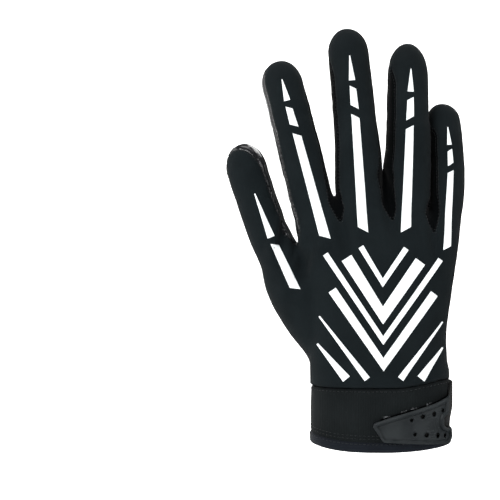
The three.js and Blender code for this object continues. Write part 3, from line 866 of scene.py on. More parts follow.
skin = narrowed(skin, normals)
on_palm = smooth_step(0.5, -2.5, palm_side)
places = [Vector(p) for p in skin]
slow = np.array([noise.noise(p / wave_length) + 0.5 * noise.noise(p / ripple_length) for p in places])
at_seam = bell(palm_side, groove_width)
at_strip = bell(back_side, groove_width) * (palm_side > 0)
move = waviness * slow + finger_fullness * smooth_step(*finger_roots, skin[:, 2])
move += film_lip * bell(palm_side + lip_place, lip_width)
move -= groove_depth * np.maximum(at_seam, at_strip)
move -= on_palm * crease_depth(skin, palm_creases)
move -= (1 - on_palm) * crease_depth(skin, back_creases) * (skin[:, 1] < 12)
move *= smooth_step(*under_cuff_fade, skin[:, 2]) * 0.8 + 0.2
skin = skin + move[:, None] * normals
normals = put_skin(skin)
print("deepest move:", round(float(move.min()), 2), "mm")

# %% [markdown]
# ## Part the skin into panels
#
# A panel is cut out where its field is below zero. Triangles that a seam crosses are divided on the line,
# so the edge is smooth. Two copies of the cut surface, one cloth thickness apart and joined along the
# edge, make the panel a closed piece. The slit at the wrist is cut the same way.

# %% Cutting


def split(rows, triangles, column, snap=0.08):
    """Divides triangles along the zero line of a column. Returns rows, those below zero and those above."""
    rows = rows.copy()
    rows[np.abs(rows[:, column]) < snap, column] = 0
    values = rows[:, column]
    corner = np.sign(values)[triangles]
    below = triangles[(corner <= 0).all(1) & (corner < 0).any(1)]
    above = triangles[(corner >= 0).all(1)]
    crossed = triangles[(corner > 0).any(1) & (corner < 0).any(1)]
    added = []
    seen = {}

    def crossing(i, j):
        """The new point on an edge, by its row."""
        key = (min(i, j), max(i, j))
        if key not in seen:
            share = values[i] / (values[i] - values[j])
            added.append(rows[i] + share * (rows[j] - rows[i]))
            added[-1][column] = 0
            seen[key] = len(rows) + len(added) - 1
        return seen[key]

    extra = ([], [])
    for triangle in crossed.tolist():
        sides = ([], [])
        for k in range(3):
            i, j = triangle[k], triangle[(k + 1) % 3]
            if values[i] <= 0:
                sides[0].append(i)
            if values[i] >= 0:
                sides[1].append(i)
            if values[i] * values[j] < 0:
                middle = crossing(i, j)
                sides[0].append(middle)
                sides[1].append(middle)
        for side, found in zip(sides, extra):
            found += [[side[0], side[k], side[k + 1]] for k in range(1, len(side) - 1)]
    if added:
        rows = np.concatenate([rows, np.array(added)])
    halves = [
        np.concatenate([whole, np.array(found, int).reshape(-1, 3)])
        for whole, found in zip((below, above), extra)
    ]
    return rows, *halves


def panel(name, rows, triangles, materials):
    """A closed panel: the cut surface, an inner copy one wall inside it, and a rim between the two."""
    used, index = np.unique(triangles, return_inverse=True)
    outer = index.reshape(-1, 3)
    points = rows[used, :3]
    points, faces = closed_sheet(points, points - cloth_wall * unit(rows[used, 3:6]), outer)
    finish = np.zeros(len(faces), int)
    finish[len(outer) : 2 * len(outer)] = 1
    return new_piece(name, points, faces, materials, finish)


# %% The slit's own field
slit_height = 55.0
slit_opening = 1.2
slit_bearing = math.radians(21)
slit_wave = 1.8
tape_width = 3.4
tape_reach = slit_opening / 2 + tape_width
slit_turn = slit_height - tape_reach


def slit_line(z):
    """The slit's middle, as an offset towards the back of the hand, at a height."""
    above = np.maximum(0, (z - cuff_height) / (slit_height - cuff_height))
    return -slit_wave * np.sin(2 * np.pi * above)


def slit_distance(points):
    """Each point's distance from the opening's centre line."""
    out = points[:, 0] * math.cos(slit_bearing) + points[:, 1] * math.sin(slit_bearing)
    sideways = -points[:, 0] * math.sin(slit_bearing) + points[:, 1] * math.cos(slit_bearing)
    offset = -sideways - slit_line(np.minimum(points[:, 2], slit_turn))
    return np.where(out > 0, np.hypot(offset, np.maximum(0, points[:, 2] - slit_turn)), 99)


# %% Cut the panels
hand.data.calc_loop_triangles()
triangles = np.empty(len(hand.data.loop_triangles) * 3, np.int64)
hand.data.loop_triangles.foreach_get("vertices", triangles)
triangles = triangles.reshape(-1, 3)
open_wrist = skin[:, 2] - (cuff_height - 7)
open_slit = slit_distance(skin) - (tape_reach - 1)
strip_side = []
for name in strip_names:
    others = [distance[other] for other in strip_names if other != name]
    strip_side.append(distance[name] - np.min(others, axis=0))
rows = np.column_stack([skin, normals, open_wrist, open_slit, palm_side, back_side, *strip_side])
in_wrist, in_slit, in_palm, in_back, in_strips = 6, 7, 8, 9, 10  # columns, after the place and the normal
rows, _, triangles = split(rows, triangles, in_wrist)
rows, _, triangles = split(rows, triangles, in_slit)
seam_rows, seam_triangles = rows, triangles
rows, palm_triangles, triangles = split(rows, triangles, in_palm)
rows, back_triangles, strip_triangles = split(rows, triangles, in_back)
print("triangles:", len(palm_triangles), len(back_triangles), len(strip_triangles))

back = panel("back_knit", rows, back_triangles, [knit_cloth, lining_cloth])
finish_piece(back, "knit", "back_panel")
palm = panel("palm_grip", rows, palm_triangles, [grip_film, lining_cloth])
finish_piece(palm, "grip", "palm_panel")
nearest_strip = np.argmin(rows[strip_triangles].mean(axis=1)[:, in_strips:], axis=1)
for k, name in enumerate(strip_names):
    own = strip_triangles[nearest_strip == k]
    strip = panel(name.replace("strip", "side_strip"), rows, own, [strip_cloth_painted_shade, lining_cloth])
    finish_piece(strip, "knit", name)
bpy.data.objects.remove(hand)

# %% [markdown]
# ## The cuff's outline
#
# Cuff, hem tape, strap and tab all go round one superellipse. A table of its arc length gives evenly
# spaced places on it, counted from the slit, towards the palm.

# %% Places round the cuff
full_turn = np.linspace(0, 2 * np.pi, 4001)
turns = full_turn + slit_bearing


def outline_at(turn, out=0.0):
    """Points on the cuff's outline at parameter angles, moved outwards."""
    x = (cuff_half[0] + out) * signed_power(np.cos(turn), 2 / body_roundness)
    y = (cuff_half[1] + out) * signed_power(np.sin(turn), 2 / body_roundness)
    return np.stack([x, y], -1)


bearing = np.arctan2(outline_at(turns)[:, 1], outline_at(turns)[:, 0])
first = turns[np.argmin(np.abs(bearing - slit_bearing))]
turns = first + full_turn
arc = np.concatenate([[0], np.cumsum(np.linalg.norm(np.diff(outline_at(turns), axis=0), axis=1))])
girth = arc[-1]


def round_cuff(run, out=0.0):
    """Points at arc lengths from the slit, moved outwards."""
    return outline_at(np.interp(run, arc, turns), out)


def droop(x):
    """How far the hem hangs at X. It is fuller on the thumb's side."""
    fullness = np.where(x < 0, 3.2, 2.0)
    return hem_droop * (1 - np.minimum(1, np.abs(x) / cuff_half[0]) ** fullness)


def rounded_bar(width, thick, corner=3, radius=0.6, flat=0):
    """A rounded rectangle's outline about its centre. flat is the count of points along each long side."""
    points = []
    for sx, sy, start in [(1, 1, 0), (-1, 1, 90), (-1, -1, 180), (1, -1, 270)]:
        centre = np.array([sx * (width / 2 - radius), sy * (thick / 2 - radius)])
        for k in range(corner + 1):
            turn = math.radians(start + 90 * k / corner)
            points.append(centre + radius * np.array([math.cos(turn), math.sin(turn)]))
        if sx == sy:
            for share in np.linspace(1, -1, flat + 2)[1:-1]:
                points.append(centre * [share, 1] + [0, sy * radius])
    return points


squeeze = 1.9
squeeze_middle = -3.0
squeeze_reach = 8.0
squeeze_top = (21, 10)  # from no squeeze to all of it, going down from the bite
squeeze_foot = (4.5, 8)  # and going up from the hem


def squeezed(points):
    """The points, drawn in below the bite of the tab, where the strap pulls on the cuff."""
    x, y, z = points.T
    depth = squeeze * smooth_step(*squeeze_top, z) * smooth_step(*squeeze_foot, z) * (x > 0)
    depth *= bell(y - squeeze_middle, squeeze_reach)
    return points - np.stack([depth, 0 * y, 0 * z], 1)


print("girth:", round(float(girth), 1), "mm")

# %% [markdown]
# ## Cuff and hem tape
#
# The cuff is a wide band of knitted elastic, whose upper edge rises towards the strap. It isn't quite even
# round the wrist, so its wall swells between the two seams and waves a little, and the pull of the strap
# draws it in on the little finger's side. The hem tape is folded over its lower edge.

# %% Cuff
edge_roll = 0.5


def band(name, runs, levels, low, high, inner, outer, materials, wave=0.0, swell=0.0):
    """A band round the wrist. low and high give its edges' heights, and inner and outer its faces."""
    rings = []
    share = np.linspace(0, 1, levels)
    edge = edge_roll * np.array([1, 0.3, 0])
    for run in runs:
        spot = round_cuff(run)
        z0, z1 = low(*spot), high(*spot)
        section = []
        for s in share:
            out = outer + swell * math.sin(math.pi * s)
            out += wave * (math.sin(run / 4.1) * math.sin(math.pi * s) + 0.6 * math.sin(run / 9.7 + 3 * s))
            rolled = np.interp(min(s, 1 - s) * (z1 - z0), [0, 0.4, 1.2], edge)
            section.append((out - rolled, z0 + (z1 - z0) * s))
        section += [(inner, z0 + (z1 - z0) * s) for s in share[::-1]]
        rings.append(np.array([(*round_cuff(run, out), z) for out, z in section]))
    points, faces = tube(rings)
    return new_piece(name, squeezed(points), faces, materials)


hem_height = 5.5
hem_overlap = 1.5
tape_proud = 0.8
cuff_runs = np.linspace(tape_reach + seam_gap, girth - slit_opening / 2, 260)
cuff = band(
    "cuff_band", cuff_runs, 26,
    lambda x, y: hem_height - hem_overlap - droop(x), cuff_top,
    -cuff_wall, 0.0, [cuff_cloth], wave=0.12, swell=0.25,
)
finish_piece(cuff, "stretch_cuff", "cuff")

# %% Hem tape and slit tape
hem_runs = np.linspace(slit_opening / 2, girth - slit_opening / 2, 300)
hem = band(
    "hem_tape", hem_runs, 12,
    lambda x, y: -droop(x), lambda x, y: hem_height - droop(x),
    -cuff_wall - tape_proud, tape_proud, [tape_cloth], wave=0.04,
)

wall_tree = tree_from([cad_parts[n] for n in ("back_panel", "palm_panel", "edge_binding")])
centre_line = slit_opening / 2 + tape_width / 2
path_step = 0.35
tape_foot = 2.0
tucked_end = cuff_height - 3  # the tape's other end lies under the cuff
slit_path = [(-centre_line, z) for z in np.arange(tape_foot, slit_turn, path_step)]
slit_path += [
    (-centre_line * math.cos(a), slit_turn + centre_line * math.sin(a)) for a in np.linspace(0, math.pi, 22)
]
slit_path += [(centre_line, z) for z in np.arange(slit_turn, tucked_end, -path_step)]
out = np.array([math.cos(slit_bearing), math.sin(slit_bearing), 0])
aside = np.array([out[1], -out[0], 0])
places = []
for offset, z in slit_path:
    start = aside * (offset + slit_line(min(z, slit_turn))) + out * 90 + [0, 0, z]
    places.append(np.array(wall_tree.ray_cast(Vector(start * mm), Vector(-out))[0]) / mm)
places = evened(np.array(places), 12)
tangent = unit(np.gradient(places, axis=0))
outward = np.tile(out, (len(places), 1))
outward = unit(outward - np.sum(outward * tangent, axis=1)[:, None] * tangent)
across = np.cross(tangent, outward)
run = np.concatenate([[0], np.cumsum(np.linalg.norm(np.diff(places, axis=0), axis=1))])
rings = []
tape_thick = cloth_wall + 2 * tape_proud
tape_rib = 0.12
rib_pitch = 1.3
for k, place in enumerate(places):
    rib = tape_rib * math.sin(2 * math.pi * run[k] / rib_pitch)
    outline = rounded_bar(tape_width + rib, tape_thick + 2 * rib, radius=0.9)
    core = place - outward[k] * (tape_thick / 2 - 0.2)
    rings.append(np.array([core + across[k] * a + outward[k] * b for a, b in outline]))
points, faces = tube(rings)
slit_tape = new_piece("slit_tape", points, faces, [tape_cloth])
finish_piece(hem, "binding", "edge_binding")
finish_piece(slit_tape, "binding")

# %% [markdown]
# ## Strap and pull tab
#
# The strap is a flat band of brushed fabric from the slit round the little finger's side. Over the tab only
# its edge shows, coloured near black as painted shadow of the gap above the tab. The tab on its end is
# moulded
# rubber: a plate with a raised rim, eight holes in two rows and a bite in its blunt end, below which the
# strap's pull draws the cuff in.
# It is drawn flat as a height field over its outline and then wrapped round the cuff.

# %% Tab outline
tab_length = 44.6
tab_height = 22.3
tab_end = 38.4
tab_low = 1.1
tab_thickness = 2.6
tab_level = 1.7
tab_rim = 2.2
low_rim = 1.4
strap_thickness = 1.2
strap_top = 33.5
tab_inner = 2 * seam_gap + strap_thickness
# Shares of the tab's length and height: its lower edge and blunt end with the bite, and its upper edge.
tab_corners = [
    (0, 0.44), (0.125, 0.065), (0.735, 0), (0.94, 0), (0.983, 0.13), (0.98, 0.33), (0.955, 0.41),
    (0.933, 0.345), (0.87, 0.426), (0.87, 0.641), (0.937, 0.731), (0.944, 1.17),
]
tab_top = [(0.919, 1.108), (0.766, 0.98), (0.526, 0.839), (0.231, 0.668), (0.02, 0.525)]
# Shares of length and height, radius as a share of the rim, and width as a share of height.
tab_holes = [
    (0.464, 0.592, 0.42, 1), (0.601, 0.673, 0.54, 1), (0.743, 0.722, 0.62, 0.8), (0.855, 0.8, 0.5, 0.7),
    (0.504, 0.251, 0.44, 1), (0.648, 0.229, 0.58, 1), (0.79, 0.21, 0.68, 0.62), (0.883, 0.195, 0.6, 0.55),
]


def tab_point(u, v):
    """X and height of a place on the tab, from shares of its length and height."""
    return np.array([tab_end - tab_length * (1 - u), tab_low + tab_height * v])


def rounded(corners, radius, steps=5):
    """A polygon with its corners rounded by quadratic curves."""
    points = []
    count = len(corners)
    for k in range(count):
        before, at, after = corners[k - 1], corners[k], corners[(k + 1) % count]
        first = at + (before - at) * min(0.45, radius / np.linalg.norm(before - at))
        last = at + (after - at) * min(0.45, radius / np.linalg.norm(after - at))
        for t in np.linspace(0, 1, steps):
            points.append((1 - t) ** 2 * first + 2 * t * (1 - t) * at + t * t * last)
    return np.array(points)


tab_outline = rounded([tab_point(u, v) for u, v in tab_corners + tab_top], 1.0)
top_edge = np.array([tab_point(u, v) for u, v in tab_top[::-1]])


def away_from(points, loop):
    """Each point's distance to a closed line."""
    best = np.full(len(points), 1e9)
    for k in range(len(loop)):
        a = loop[k]
        step = loop[(k + 1) % len(loop)] - a
        t = np.clip((points - a) @ step / (step @ step), 0, 1)
        best = np.minimum(best, np.linalg.norm(points - a - t[:, None] * step, axis=1))
    return best


# %% Flat sheets


def flat_sheet(loops, pitch):
    """Points and triangles of the area within the first loop and outside the others, cut on a grid."""
    sheet = bmesh.new()
    for loop in loops:
        ring = [sheet.verts.new((x, 0, z)) for x, z in loop]
        for k in range(len(ring)):
            sheet.edges.new((ring[k - 1], ring[k]))
    bmesh.ops.triangle_fill(sheet, use_beauty=True, edges=sheet.edges[:], normal=(0, -1, 0))
    corners = np.concatenate(loops)
    low, high = corners.min(0), corners.max(0)
    for axis, normal in ((0, (1, 0, 0)), (1, (0, 0, 1))):
        for line in np.arange(math.ceil(low[axis] / pitch) * pitch, high[axis], pitch):
            spot = (line, 0, 0) if axis == 0 else (0, 0, line)
            everything = sheet.verts[:] + sheet.edges[:] + sheet.faces[:]
            bmesh.ops.bisect_plane(sheet, geom=everything, plane_co=spot, plane_no=normal, dist=1e-5)
    bmesh.ops.remove_doubles(sheet, verts=sheet.verts[:], dist=0.02)
    bmesh.ops.triangulate(sheet, faces=sheet.faces[:])
    points = np.array([v.co[:] for v in sheet.verts])
    faces = np.array([[v.index for v in f.verts] for f in sheet.faces])
    sheet.free()
    return points[:, [0, 2]], faces


def on_cuff_back(flat, out):
    """Points over the cuff's back, from X and Z as drawn flat, moved outwards."""
    share = np.minimum(0.999, np.abs(flat[:, 0]) / (cuff_half[0] + out))
    y = -(cuff_half[1] + out) * (1 - share**body_roundness) ** (1 / body_roundness)
    return np.stack([flat[:, 0], y, flat[:, 1]], 1)


# %% Pull tab
tab_pitch = 0.45
rim_groove = 0.4
edge_rounding = 0.5
hole_rounding = 0.3
hole_lip = 0.12
ridge_height = 0.13
ridge_pitch = 1.3
hole_loops = []
for u, v, share, narrow in tab_holes:
    turn = np.linspace(0, 2 * np.pi, 25)[:-1]
    hole_loops.append(tab_point(u, v) + share * tab_rim * np.stack([narrow * np.cos(turn), np.sin(turn)], 1))
flat, tab_triangles = flat_sheet([tab_outline, *hole_loops], tab_pitch)
edge_distance = away_from(flat, tab_outline)
hole_distance = np.min([away_from(flat, loop) for loop in hole_loops], axis=0)
low_share = smooth_step(tab_point(0, 0.45)[1], tab_point(0, 0.15)[1], flat[:, 1])
rim = tab_rim + (low_rim - tab_rim) * low_share
height = tab_level + (tab_thickness - tab_level) * (1 - smooth_step(rim - 0.5, rim, edge_distance))
height -= rim_groove * bell(edge_distance - rim - 0.1, 0.3) * smooth_step(0.1, 0.6, hole_distance)
height -= edge_rounding * (1 - smooth_step(0, 0.6, edge_distance)) ** 2
height -= hole_rounding * (1 - smooth_step(0, 0.45, hole_distance)) ** 2
height += hole_lip * bell(hole_distance - 0.75, 0.3)
ridged = smooth_step(rim + 0.5, rim + 1.1, edge_distance) * smooth_step(0.8, 1.5, hole_distance)
ridged *= smooth_step(tab_point(0.6, 0)[0], tab_point(0.72, 0)[0], flat[:, 0])
height += ridge_height * ridged * np.sin(2 * math.pi * edge_distance / ridge_pitch)
top = on_cuff_back(flat, tab_inner + height)
bottom = on_cuff_back(flat, np.full(len(flat), tab_inner))
points, faces = closed_sheet(top, bottom, tab_triangles)
tab = new_piece("pull_tab", points, faces, [tab_rubber])
finish_piece(tab, "tab_rubber", "closure_tab")

# %% Strap
nose = tab_point(0.09, 0.5)
heel = tab_point(0.2, 0.14)
lit_from = 35.7  # beyond this X the strap shows its face, and before it only its near-black edge, painted shadow
shadow_edge_rise = 0.7
bite_corner = (35.6, 29.8)  # X and height of the strap's edge where it comes out of the bite
full_from = 36.3  # beyond this X the strap has its full height
least_strap = 1.4
strap_low = hem_height + seam_gap
back_runs = np.linspace(girth - 0.6, girth * 0.52, 400)
spots = round_cuff(back_runs, seam_gap)
last = np.argmax((spots[:, 0] < nose[0]) & (spots[:, 1] < 0))
strap_runs = back_runs[:last]


def strap_edges(x, y):
    """The strap's lower and upper edge at a place round the cuff."""
    if y > -2:
        return strap_low, strap_top
    low = np.interp(x, [nose[0], heel[0], tab_point(0.4, 0)[0]], [nose[1], heel[1], strap_low])
    over_tab = top_edge + [0, shadow_edge_rise]
    high = np.interp(x, *np.vstack([over_tab, bite_corner, (full_from, strap_top)]).T)
    return low, high


rings = []
for run in strap_runs:
    x, y = round_cuff(run, seam_gap)
    low, high = strap_edges(x, y)
    middle = (low + high) / 2
    wide = max(least_strap, high - low)
    section = []
    for a, b in rounded_bar(wide, strap_thickness, radius=0.5, flat=12):
        point = round_cuff(run, seam_gap + strap_thickness / 2 + b)
        section.append((*point, middle + a))
    rings.append(np.array(section))
points, faces = tube(rings)
points = squeezed(points)
above_tab = points[:, 2] - np.interp(points[:, 0], *top_edge.T)
# The strap's faces over the tab get the near-black finish: painted shadow of the gap above the tab.
in_painted_shadow = (points[:, 0] < lit_from) & (points[:, 1] < 0) & (above_tab > -2)
painted_shadow_faces = [int(in_painted_shadow[face[0]]) for face in faces]
strap = new_piece("wrist_strap", points, faces, [strap_cloth, hook_edge_painted_shadow], painted_shadow_faces)
finish_piece(strap, "strap", "closure_strap")

# %% [markdown]
# ## Prints
#
# The stripes are thin films of ink. Each is drawn flat in X and Z as a polygon, cut on a fine grid and
# dropped on the panel along Y, so its edges stay sharp at any distance and it follows every fold. The
# design is a plain one: nested chevrons and tapered stripes, much the same left and right of the middle.

# %% Drawing stripes


def stripe(x0, z0, x1, z1, start, end, slant=0.0):
    """A straight stripe's four corners. slant turns its two ends against its run."""
    a, b = np.array([x0, z0], float), np.array([x1, z1], float)
    run = (b - a) / np.linalg.norm(b - a)
    side = np.array([-run[1], run[0]])
    return [
        a + side * start / 2 + run * slant * start, b + side * end / 2 + run * slant * end,
        b - side * end / 2 - run * slant * end, a - side * start / 2 - run * slant * start,
    ]


def chevron(tip, left, right, thick, tip_thick):
    """Two arms that meet at a tip: each a quadrilateral that shares the line under the tip."""
    tip, left, right = (np.array(p, float) for p in (tip, left, right))
    rise = np.array([0, tip_thick if left[1] > tip[1] else -tip_thick])
    shapes = []
    for end in (left, right):
        run = (end - tip) / np.linalg.norm(end - tip)
        side = np.array([-run[1], run[0]]) * thick
        if side @ rise < 0:
            side = -side
        shapes.append([tip, end, end + side, tip + rise])
    return shapes


back_shapes = [
    *chevron((0, 40), (-29, 82), (30, 80), 4.6, 7.0),
    *chevron((0, 54), (-32, 102), (33, 99), 3.0, 4.6),
    *chevron((0, 65), (-22, 99), (23, 97), 6.2, 9.5),
    *chevron((0, 85), (-13, 106), (14, 105), 3.0, 4.6),
    stripe(-31, 112, -46, 168, 5.4, 4.2, 0.3), stripe(-10.5, 116, -14.2, 178, 5.4, 4.2, 0.3),
    stripe(12.8, 116, 15.6, 172, 5.4, 4.2, -0.3), stripe(35.5, 106, 38.4, 148, 4.2, 3.2, -0.3),
    stripe(-47.5, 173, -50.2, 183, 4.2, 3.4, 0.3), stripe(-14.5, 183, -15.3, 194, 4.2, 3.4, 0.3),
    stripe(15.9, 177, 16.4, 188, 4.2, 3.4, -0.3), stripe(38.6, 152, 38.4, 160, 3.2, 2.6, -0.3),
    stripe(-51.2, 187, -54.0, 199, 3.4, 0.5), stripe(-15.7, 198, -16.8, 212, 3.4, 0.5),
    stripe(16.6, 192, 17.2, 205, 3.4, 0.5), stripe(38.3, 163, 37.8, 173, 2.6, 0.5),
    stripe(-47, 84, -58, 108, 5.0, 4.0, 0.3), stripe(-60, 112, -69, 136, 4.0, 0.6),
    stripe(-9, 36, -34, 69, 3.4, 0.8), stripe(9, 36, 33, 66, 3.4, 0.8),
    stripe(-20, 36, -35, 54, 4.6, 1.0), stripe(20, 36, 33, 52, 4.6, 1.0),
]
print("back stripes:", len(back_shapes))

# %% [markdown]
# The palm's ink lies under the silicone: three nested chevrons that point to the fingers, and a dart at
# the root of each finger.

# %% Palm stripes
palm_shapes = [
    *chevron((-2, 104), (-30, 62), (24, 62), 5.5, 8.5),
    *chevron((-2, 88), (-24, 52), (19, 52), 3.2, 5.0),
    *chevron((-2, 76), (-18, 47), (13, 47), 5.5, 8.5),
    stripe(-32, 108, -41, 150, 5.2, 0.8), stripe(-11.5, 112, -14, 156, 5.2, 0.8),
    stripe(11.5, 112, 14, 152, 5.2, 0.8), stripe(31, 100, 37.5, 134, 4.4, 0.8),
    stripe(-52, 92, -65, 124, 4.4, 0.8),
]


def ink(name, shapes, side, target, material, slot, lift=0.1, sunk=0.3, pitch=1.2):
    """Films of ink on a panel. side is -1 for the back of the hand and 1 for the palm."""
    pool = tree_from([target])
    parts = []
    for shape in shapes:
        flat, cut = flat_sheet([np.array(shape)], pitch)
        top, below = [], []
        for x, z in flat:
            start = Vector((x * mm, side * 80 * mm, z * mm))
            hit, normal, _, _ = pool.ray_cast(start, Vector((0, -side, 0)))
            if hit is None:
                hit, normal, _, _ = pool.find_nearest(Vector((x * mm, side * 10 * mm, z * mm)))
            top.append(np.array(hit + normal * lift * mm) / mm)
            below.append(np.array(hit - normal * sunk * mm) / mm)
        shape_points, shape_faces = closed_sheet(np.array(top), np.array(below), cut)
        if volume_of(shape_points, shape_faces) < 0:
            shape_faces = [f[::-1] for f in shape_faces]
        parts.append((shape_points, shape_faces))
    finish_piece(new_piece(name, *joined(parts), [material]), slot)


ink("back_stripes", back_shapes, -1, back, print_ink, "print")
ink("palm_stripes", palm_shapes, 1, palm, grip_ink, "grip_print")

# %% [markdown]
# ## Stitches
#
# Every seam is sewn. Geometry Nodes lay one stitch at each step along a line: the line is resampled at
# the stitch's pitch, a small bead of thread is placed on each point, turned along the line and pressed
# flat against the cloth. The lines come from the same fields as the seams.

# %% Lines along a field


def level_lines(rows, triangles, values):
    """Chains of points on the zero line of values."""
    corner = values[triangles] > 0
    crossed = triangles[corner.any(1) & ~corner.all(1)]
    spots = {}
    links = {}
    for triangle in crossed.tolist():
        ends = []
        for k in range(3):
            i, j = triangle[k], triangle[(k + 1) % 3]
            if (values[i] > 0) != (values[j] > 0):
                key = (min(i, j), max(i, j))
                share = values[i] / (values[i] - values[j])
                spots[key] = rows[i, :6] + share * (rows[j, :6] - rows[i, :6])
                ends.append(key)
        links.setdefault(ends[0], []).append(ends[1])
        links.setdefault(ends[1], []).append(ends[0])
    chains = []
    seen = set()
    starts = [k for k in links if len(links[k]) == 1] + list(links)
    for start in starts:
        if start in seen:
            continue
        chain = [start]
        seen.add(start)
        while True:
            after = [k for k in links[chain[-1]] if k not in seen]
            if not after:
                break
            chain.append(after[0])
            seen.add(after[0])
        if len(chain) > 12:
            chains.append(evened(np.array([spots[k] for k in chain]), 4))
    return chains


# %% Tree helpers


def geometry_tree(name, inputs, result):
    """An empty tree of Geometry Nodes and its inputs' sockets. inputs maps a name to a kind."""
    tree = bpy.data.node_groups.new(name, "GeometryNodeTree")
    for label, kind in inputs.items():
        tree.interface.new_socket(label, in_out="INPUT", socket_type="NodeSocket" + kind)
    tree.interface.new_socket(result, in_out="OUTPUT", socket_type="NodeSocketGeometry")
    return tree, tree.nodes.new("NodeGroupInput").outputs


def spaced_along(tree, line, step):
    """A curve along a line of edges, with points a step apart."""
    curve = put(tree, "GeometryNodeMeshToCurve", {"Mesh": line}).outputs[0]
    resampled = put(tree, "GeometryNodeResampleCurve", {"Curve": curve, "Length": step}, mode="LENGTH")
    return resampled.outputs[0]


def chance(tree, low, high, seed):
    """A random value for each point, a number or a vector."""
    if isinstance(low, tuple):
        inputs = {0: low, 1: high, "Seed": seed}
        return put(tree, "FunctionNodeRandomValue", inputs, data_type="FLOAT_VECTOR").outputs[0]
    inputs = {2: low, 3: high, "Seed": seed}
    return put(tree, "FunctionNodeRandomValue", inputs, data_type="FLOAT").outputs[1]


def laid(tree, points, bead, turn, size, material, smooth=False):
    """The tree's last nodes: copies of a bead on points, made real and given a material."""
    inputs = {"Points": points, "Instance": bead, "Rotation": turn, "Scale": size}
    copies = put(tree, "GeometryNodeInstanceOnPoints", inputs).outputs[0]
    real = put(tree, "GeometryNodeRealizeInstances", {0: copies}).outputs[0]
    if smooth:
        real = put(tree, "GeometryNodeSetShadeSmooth", {0: real}).outputs[0]
    dyed = put(tree, "GeometryNodeSetMaterial", {0: real, "Material": material}).outputs[0]
    feed(tree, tree.nodes.new("NodeGroupOutput"), {0: dyed})


def grown(name, tree, points, joins, values, away=None):
    """A piece that a tree lays along lines of points, in metres. away holds the points' normals."""
    mesh = bpy.data.meshes.new(name)
    mesh.from_pydata(points, joins, [])
    if away:
        attribute = mesh.attributes.new("away", "FLOAT_VECTOR", "POINT")
        attribute.data.foreach_set("vector", np.array(away, np.float32).ravel())
    obj = shown(name, mesh)
    modifier = obj.modifiers.new(tree.name, "NODES")
    modifier.node_group = tree
    for item in tree.interface.items_tree:
        if item.name in values:
            modifier[item.identifier] = values[item.name]
    return applied(obj)


# %% The stitching tree
stitch_inputs = {
    "Line": "Geometry", "Pitch": "Float", "Length": "Float", "Thickness": "Float", "Thread": "Material"
}
stitching, given = geometry_tree("stitching", stitch_inputs, "Stitches")
spaced = spaced_along(stitching, given["Line"], given["Pitch"])
bead = put(stitching, "GeometryNodeMeshUVSphere", {"Segments": 6, "Rings": 4, "Radius": 0.5}).outputs[0]
along = put(stitching, "GeometryNodeInputTangent").outputs[0]
away = put(stitching, "GeometryNodeInputNamedAttribute", {"Name": "away"}, data_type="FLOAT_VECTOR")
turn_kind = "FunctionNodeAlignRotationToVector"
first_turn = put(stitching, turn_kind, {"Vector": along}, axis="X").outputs[0]
aims = {"Rotation": first_turn, "Vector": away.outputs["Attribute"]}
second_turn = put(stitching, turn_kind, aims, axis="Z", pivot_axis="X").outputs[0]
long_side = calc(stitching, "MULTIPLY", given["Length"], chance(stitching, 0.85, 1.1, 7))
sides = {"X": long_side, "Y": given["Thickness"], "Z": given["Thickness"]}
size = put(stitching, "ShaderNodeCombineXYZ", sides).outputs[0]
laid(stitching, spaced, bead, second_turn, size, given["Thread"], smooth=True)

# %% Sewing
stitch_lift = 0.05


def sew(name, lines, pitch, length, thickness):
    """A piece of stitches along lines of points and normals, in millimetres."""
    points, away, joins = [], [], []
    for line in lines:
        joins += [(len(points) + k, len(points) + k + 1) for k in range(len(line) - 1)]
        points += (line[:, :3] + stitch_lift * line[:, 3:6]).tolist()
        away += line[:, 3:6].tolist()
    values = {"Pitch": pitch * mm, "Length": length * mm, "Thickness": thickness * mm, "Thread": thread}
    finish_piece(grown(name, stitching, (np.array(points) * mm).tolist(), joins, values, away), "thread")


seam_stitch = (1.9, 1.35)  # pitch and length
cuff_stitch = (2.3, 1.7)
beside_seam = 0.9
beside_strip = 0.8
seam_lines = []
for offset in (-beside_seam, beside_seam):
    seam_lines += level_lines(seam_rows, seam_triangles, seam_rows[:, in_palm] - offset)
sew("palm_seam_stitches", seam_lines, *seam_stitch, 0.3)
off_palm = seam_triangles[(seam_rows[seam_triangles, in_palm] > 0).all(1)]
strip_lines = []
for offset in (beside_strip, -beside_strip):
    strip_lines += level_lines(seam_rows, off_palm, seam_rows[:, in_back] - offset)
sew("strip_seam_stitches", strip_lines, *seam_stitch, 0.28)


def round_line(out, height):
    """A line round the wrist at a height above the drooping hem."""
    runs = np.linspace(tape_reach + 0.6, girth - 1.0, 400)
    spots = round_cuff(runs, out)
    step = np.gradient(spots, axis=0)
    away_flat = unit(np.stack([step[:, 1], -step[:, 0]], 1))
    spots = squeezed(np.column_stack([spots, height(spots[:, 0], spots[:, 1])]))
    return np.column_stack([spots, away_flat, np.zeros(len(runs))])


# Two rows above the hem tape, one on the tape and one below the cuff's upper edge.
hem_lines = [
    round_line(0.3, lambda x, y: 7.3 - droop(x)),
    round_line(0.3, lambda x, y: 9.0 - droop(x)),
    round_line(tape_proud, lambda x, y: hem_height - 1.0 - droop(x)),
    round_line(0.25, lambda x, y: cuff_top(x, y) - 1.3),
]
sew("cuff_stitches", hem_lines, *cuff_stitch, 0.36)
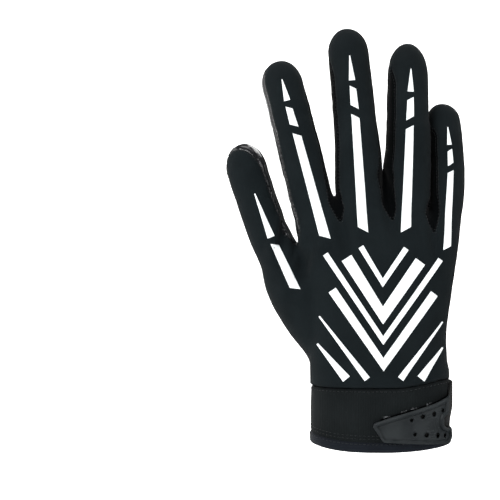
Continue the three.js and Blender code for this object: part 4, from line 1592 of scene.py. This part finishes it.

# %% [markdown]
# ## Loop pile
#
# The tab is held by loops of pile on the cuff. They stand out along its upper edge in four tufts, and a few
# are pale grey: painted glints. One loop is a thin bent hair. The tree sets copies of it along the edge, each
# with a
# turn, a size and a place of its own from a fixed seed.

# %% The pile tree
pile_inputs = {"Edge": "Geometry", "Spacing": "Float", "Size": "Float", "Hair": "Float", "Fibre": "Material"}
pile, given = geometry_tree("loop_pile", pile_inputs, "Pile")
spaced = spaced_along(pile, given["Edge"], given["Spacing"])
to_points = put(pile, "GeometryNodeCurveToPoints", {"Curve": spaced}, mode="EVALUATED").outputs[0]
half_size = calc(pile, "MULTIPLY", given["Size"], 0.5)
scatter = {0: chance(pile, (-1, -1, -1), (1, 1, 1), 3), "Scale": half_size}
shift = put(pile, "ShaderNodeVectorMath", scatter, operation="SCALE").outputs[0]
strewn = put(pile, "GeometryNodeSetPosition", {"Geometry": to_points, "Offset": shift}).outputs[0]
bent = {"Resolution": 7, "Radius": half_size, "Sweep Angle": math.radians(230)}
bow = put(pile, "GeometryNodeCurveArc", bent).outputs[0]
ring = {"Resolution": 4, "Radius": calc(pile, "MULTIPLY", given["Hair"], 0.5)}
outline = put(pile, "GeometryNodeCurvePrimitiveCircle", ring).outputs[0]
swept = {"Curve": bow, "Profile Curve": outline, "Fill Caps": True}
hair = put(pile, "GeometryNodeCurveToMesh", swept).outputs[0]
spin = chance(pile, (-3, -3, -3), (3, 3, 3), 11)
turned = put(pile, "FunctionNodeEulerToRotation", {0: spin}).outputs[0]
laid(pile, strewn, hair, turned, chance(pile, 0.5, 1.2, 5), given["Fibre"])

# %% Pile along the tab
pile_tufts = [(0.13, 0.2), (0.34, 0.4), (0.46, 0.54), (0.65, 0.7)]  # shares of the tab's length
pile_rise = 0.9
tuft_points = 12
edge_points = []
joins = []
for start, end in pile_tufts:
    joins += [(len(edge_points) + k, len(edge_points) + k + 1) for k in range(tuft_points - 1)]
    for u in np.linspace(start, end, tuft_points):
        x = tab_point(u, 0)[0]
        flat = np.array([[x, np.interp(x, *top_edge.T) + pile_rise]])
        edge_points.append(on_cuff_back(flat, tab_inner - 0.3)[0] * mm)
pile_values = {"Spacing": 0.3 * mm, "Size": 0.8 * mm, "Hair": 0.1 * mm, "Fibre": pile_fibre_painted_glints}
finish_piece(grown("loop_pile", pile, edge_points, joins, pile_values), "strap")

# %% Finish
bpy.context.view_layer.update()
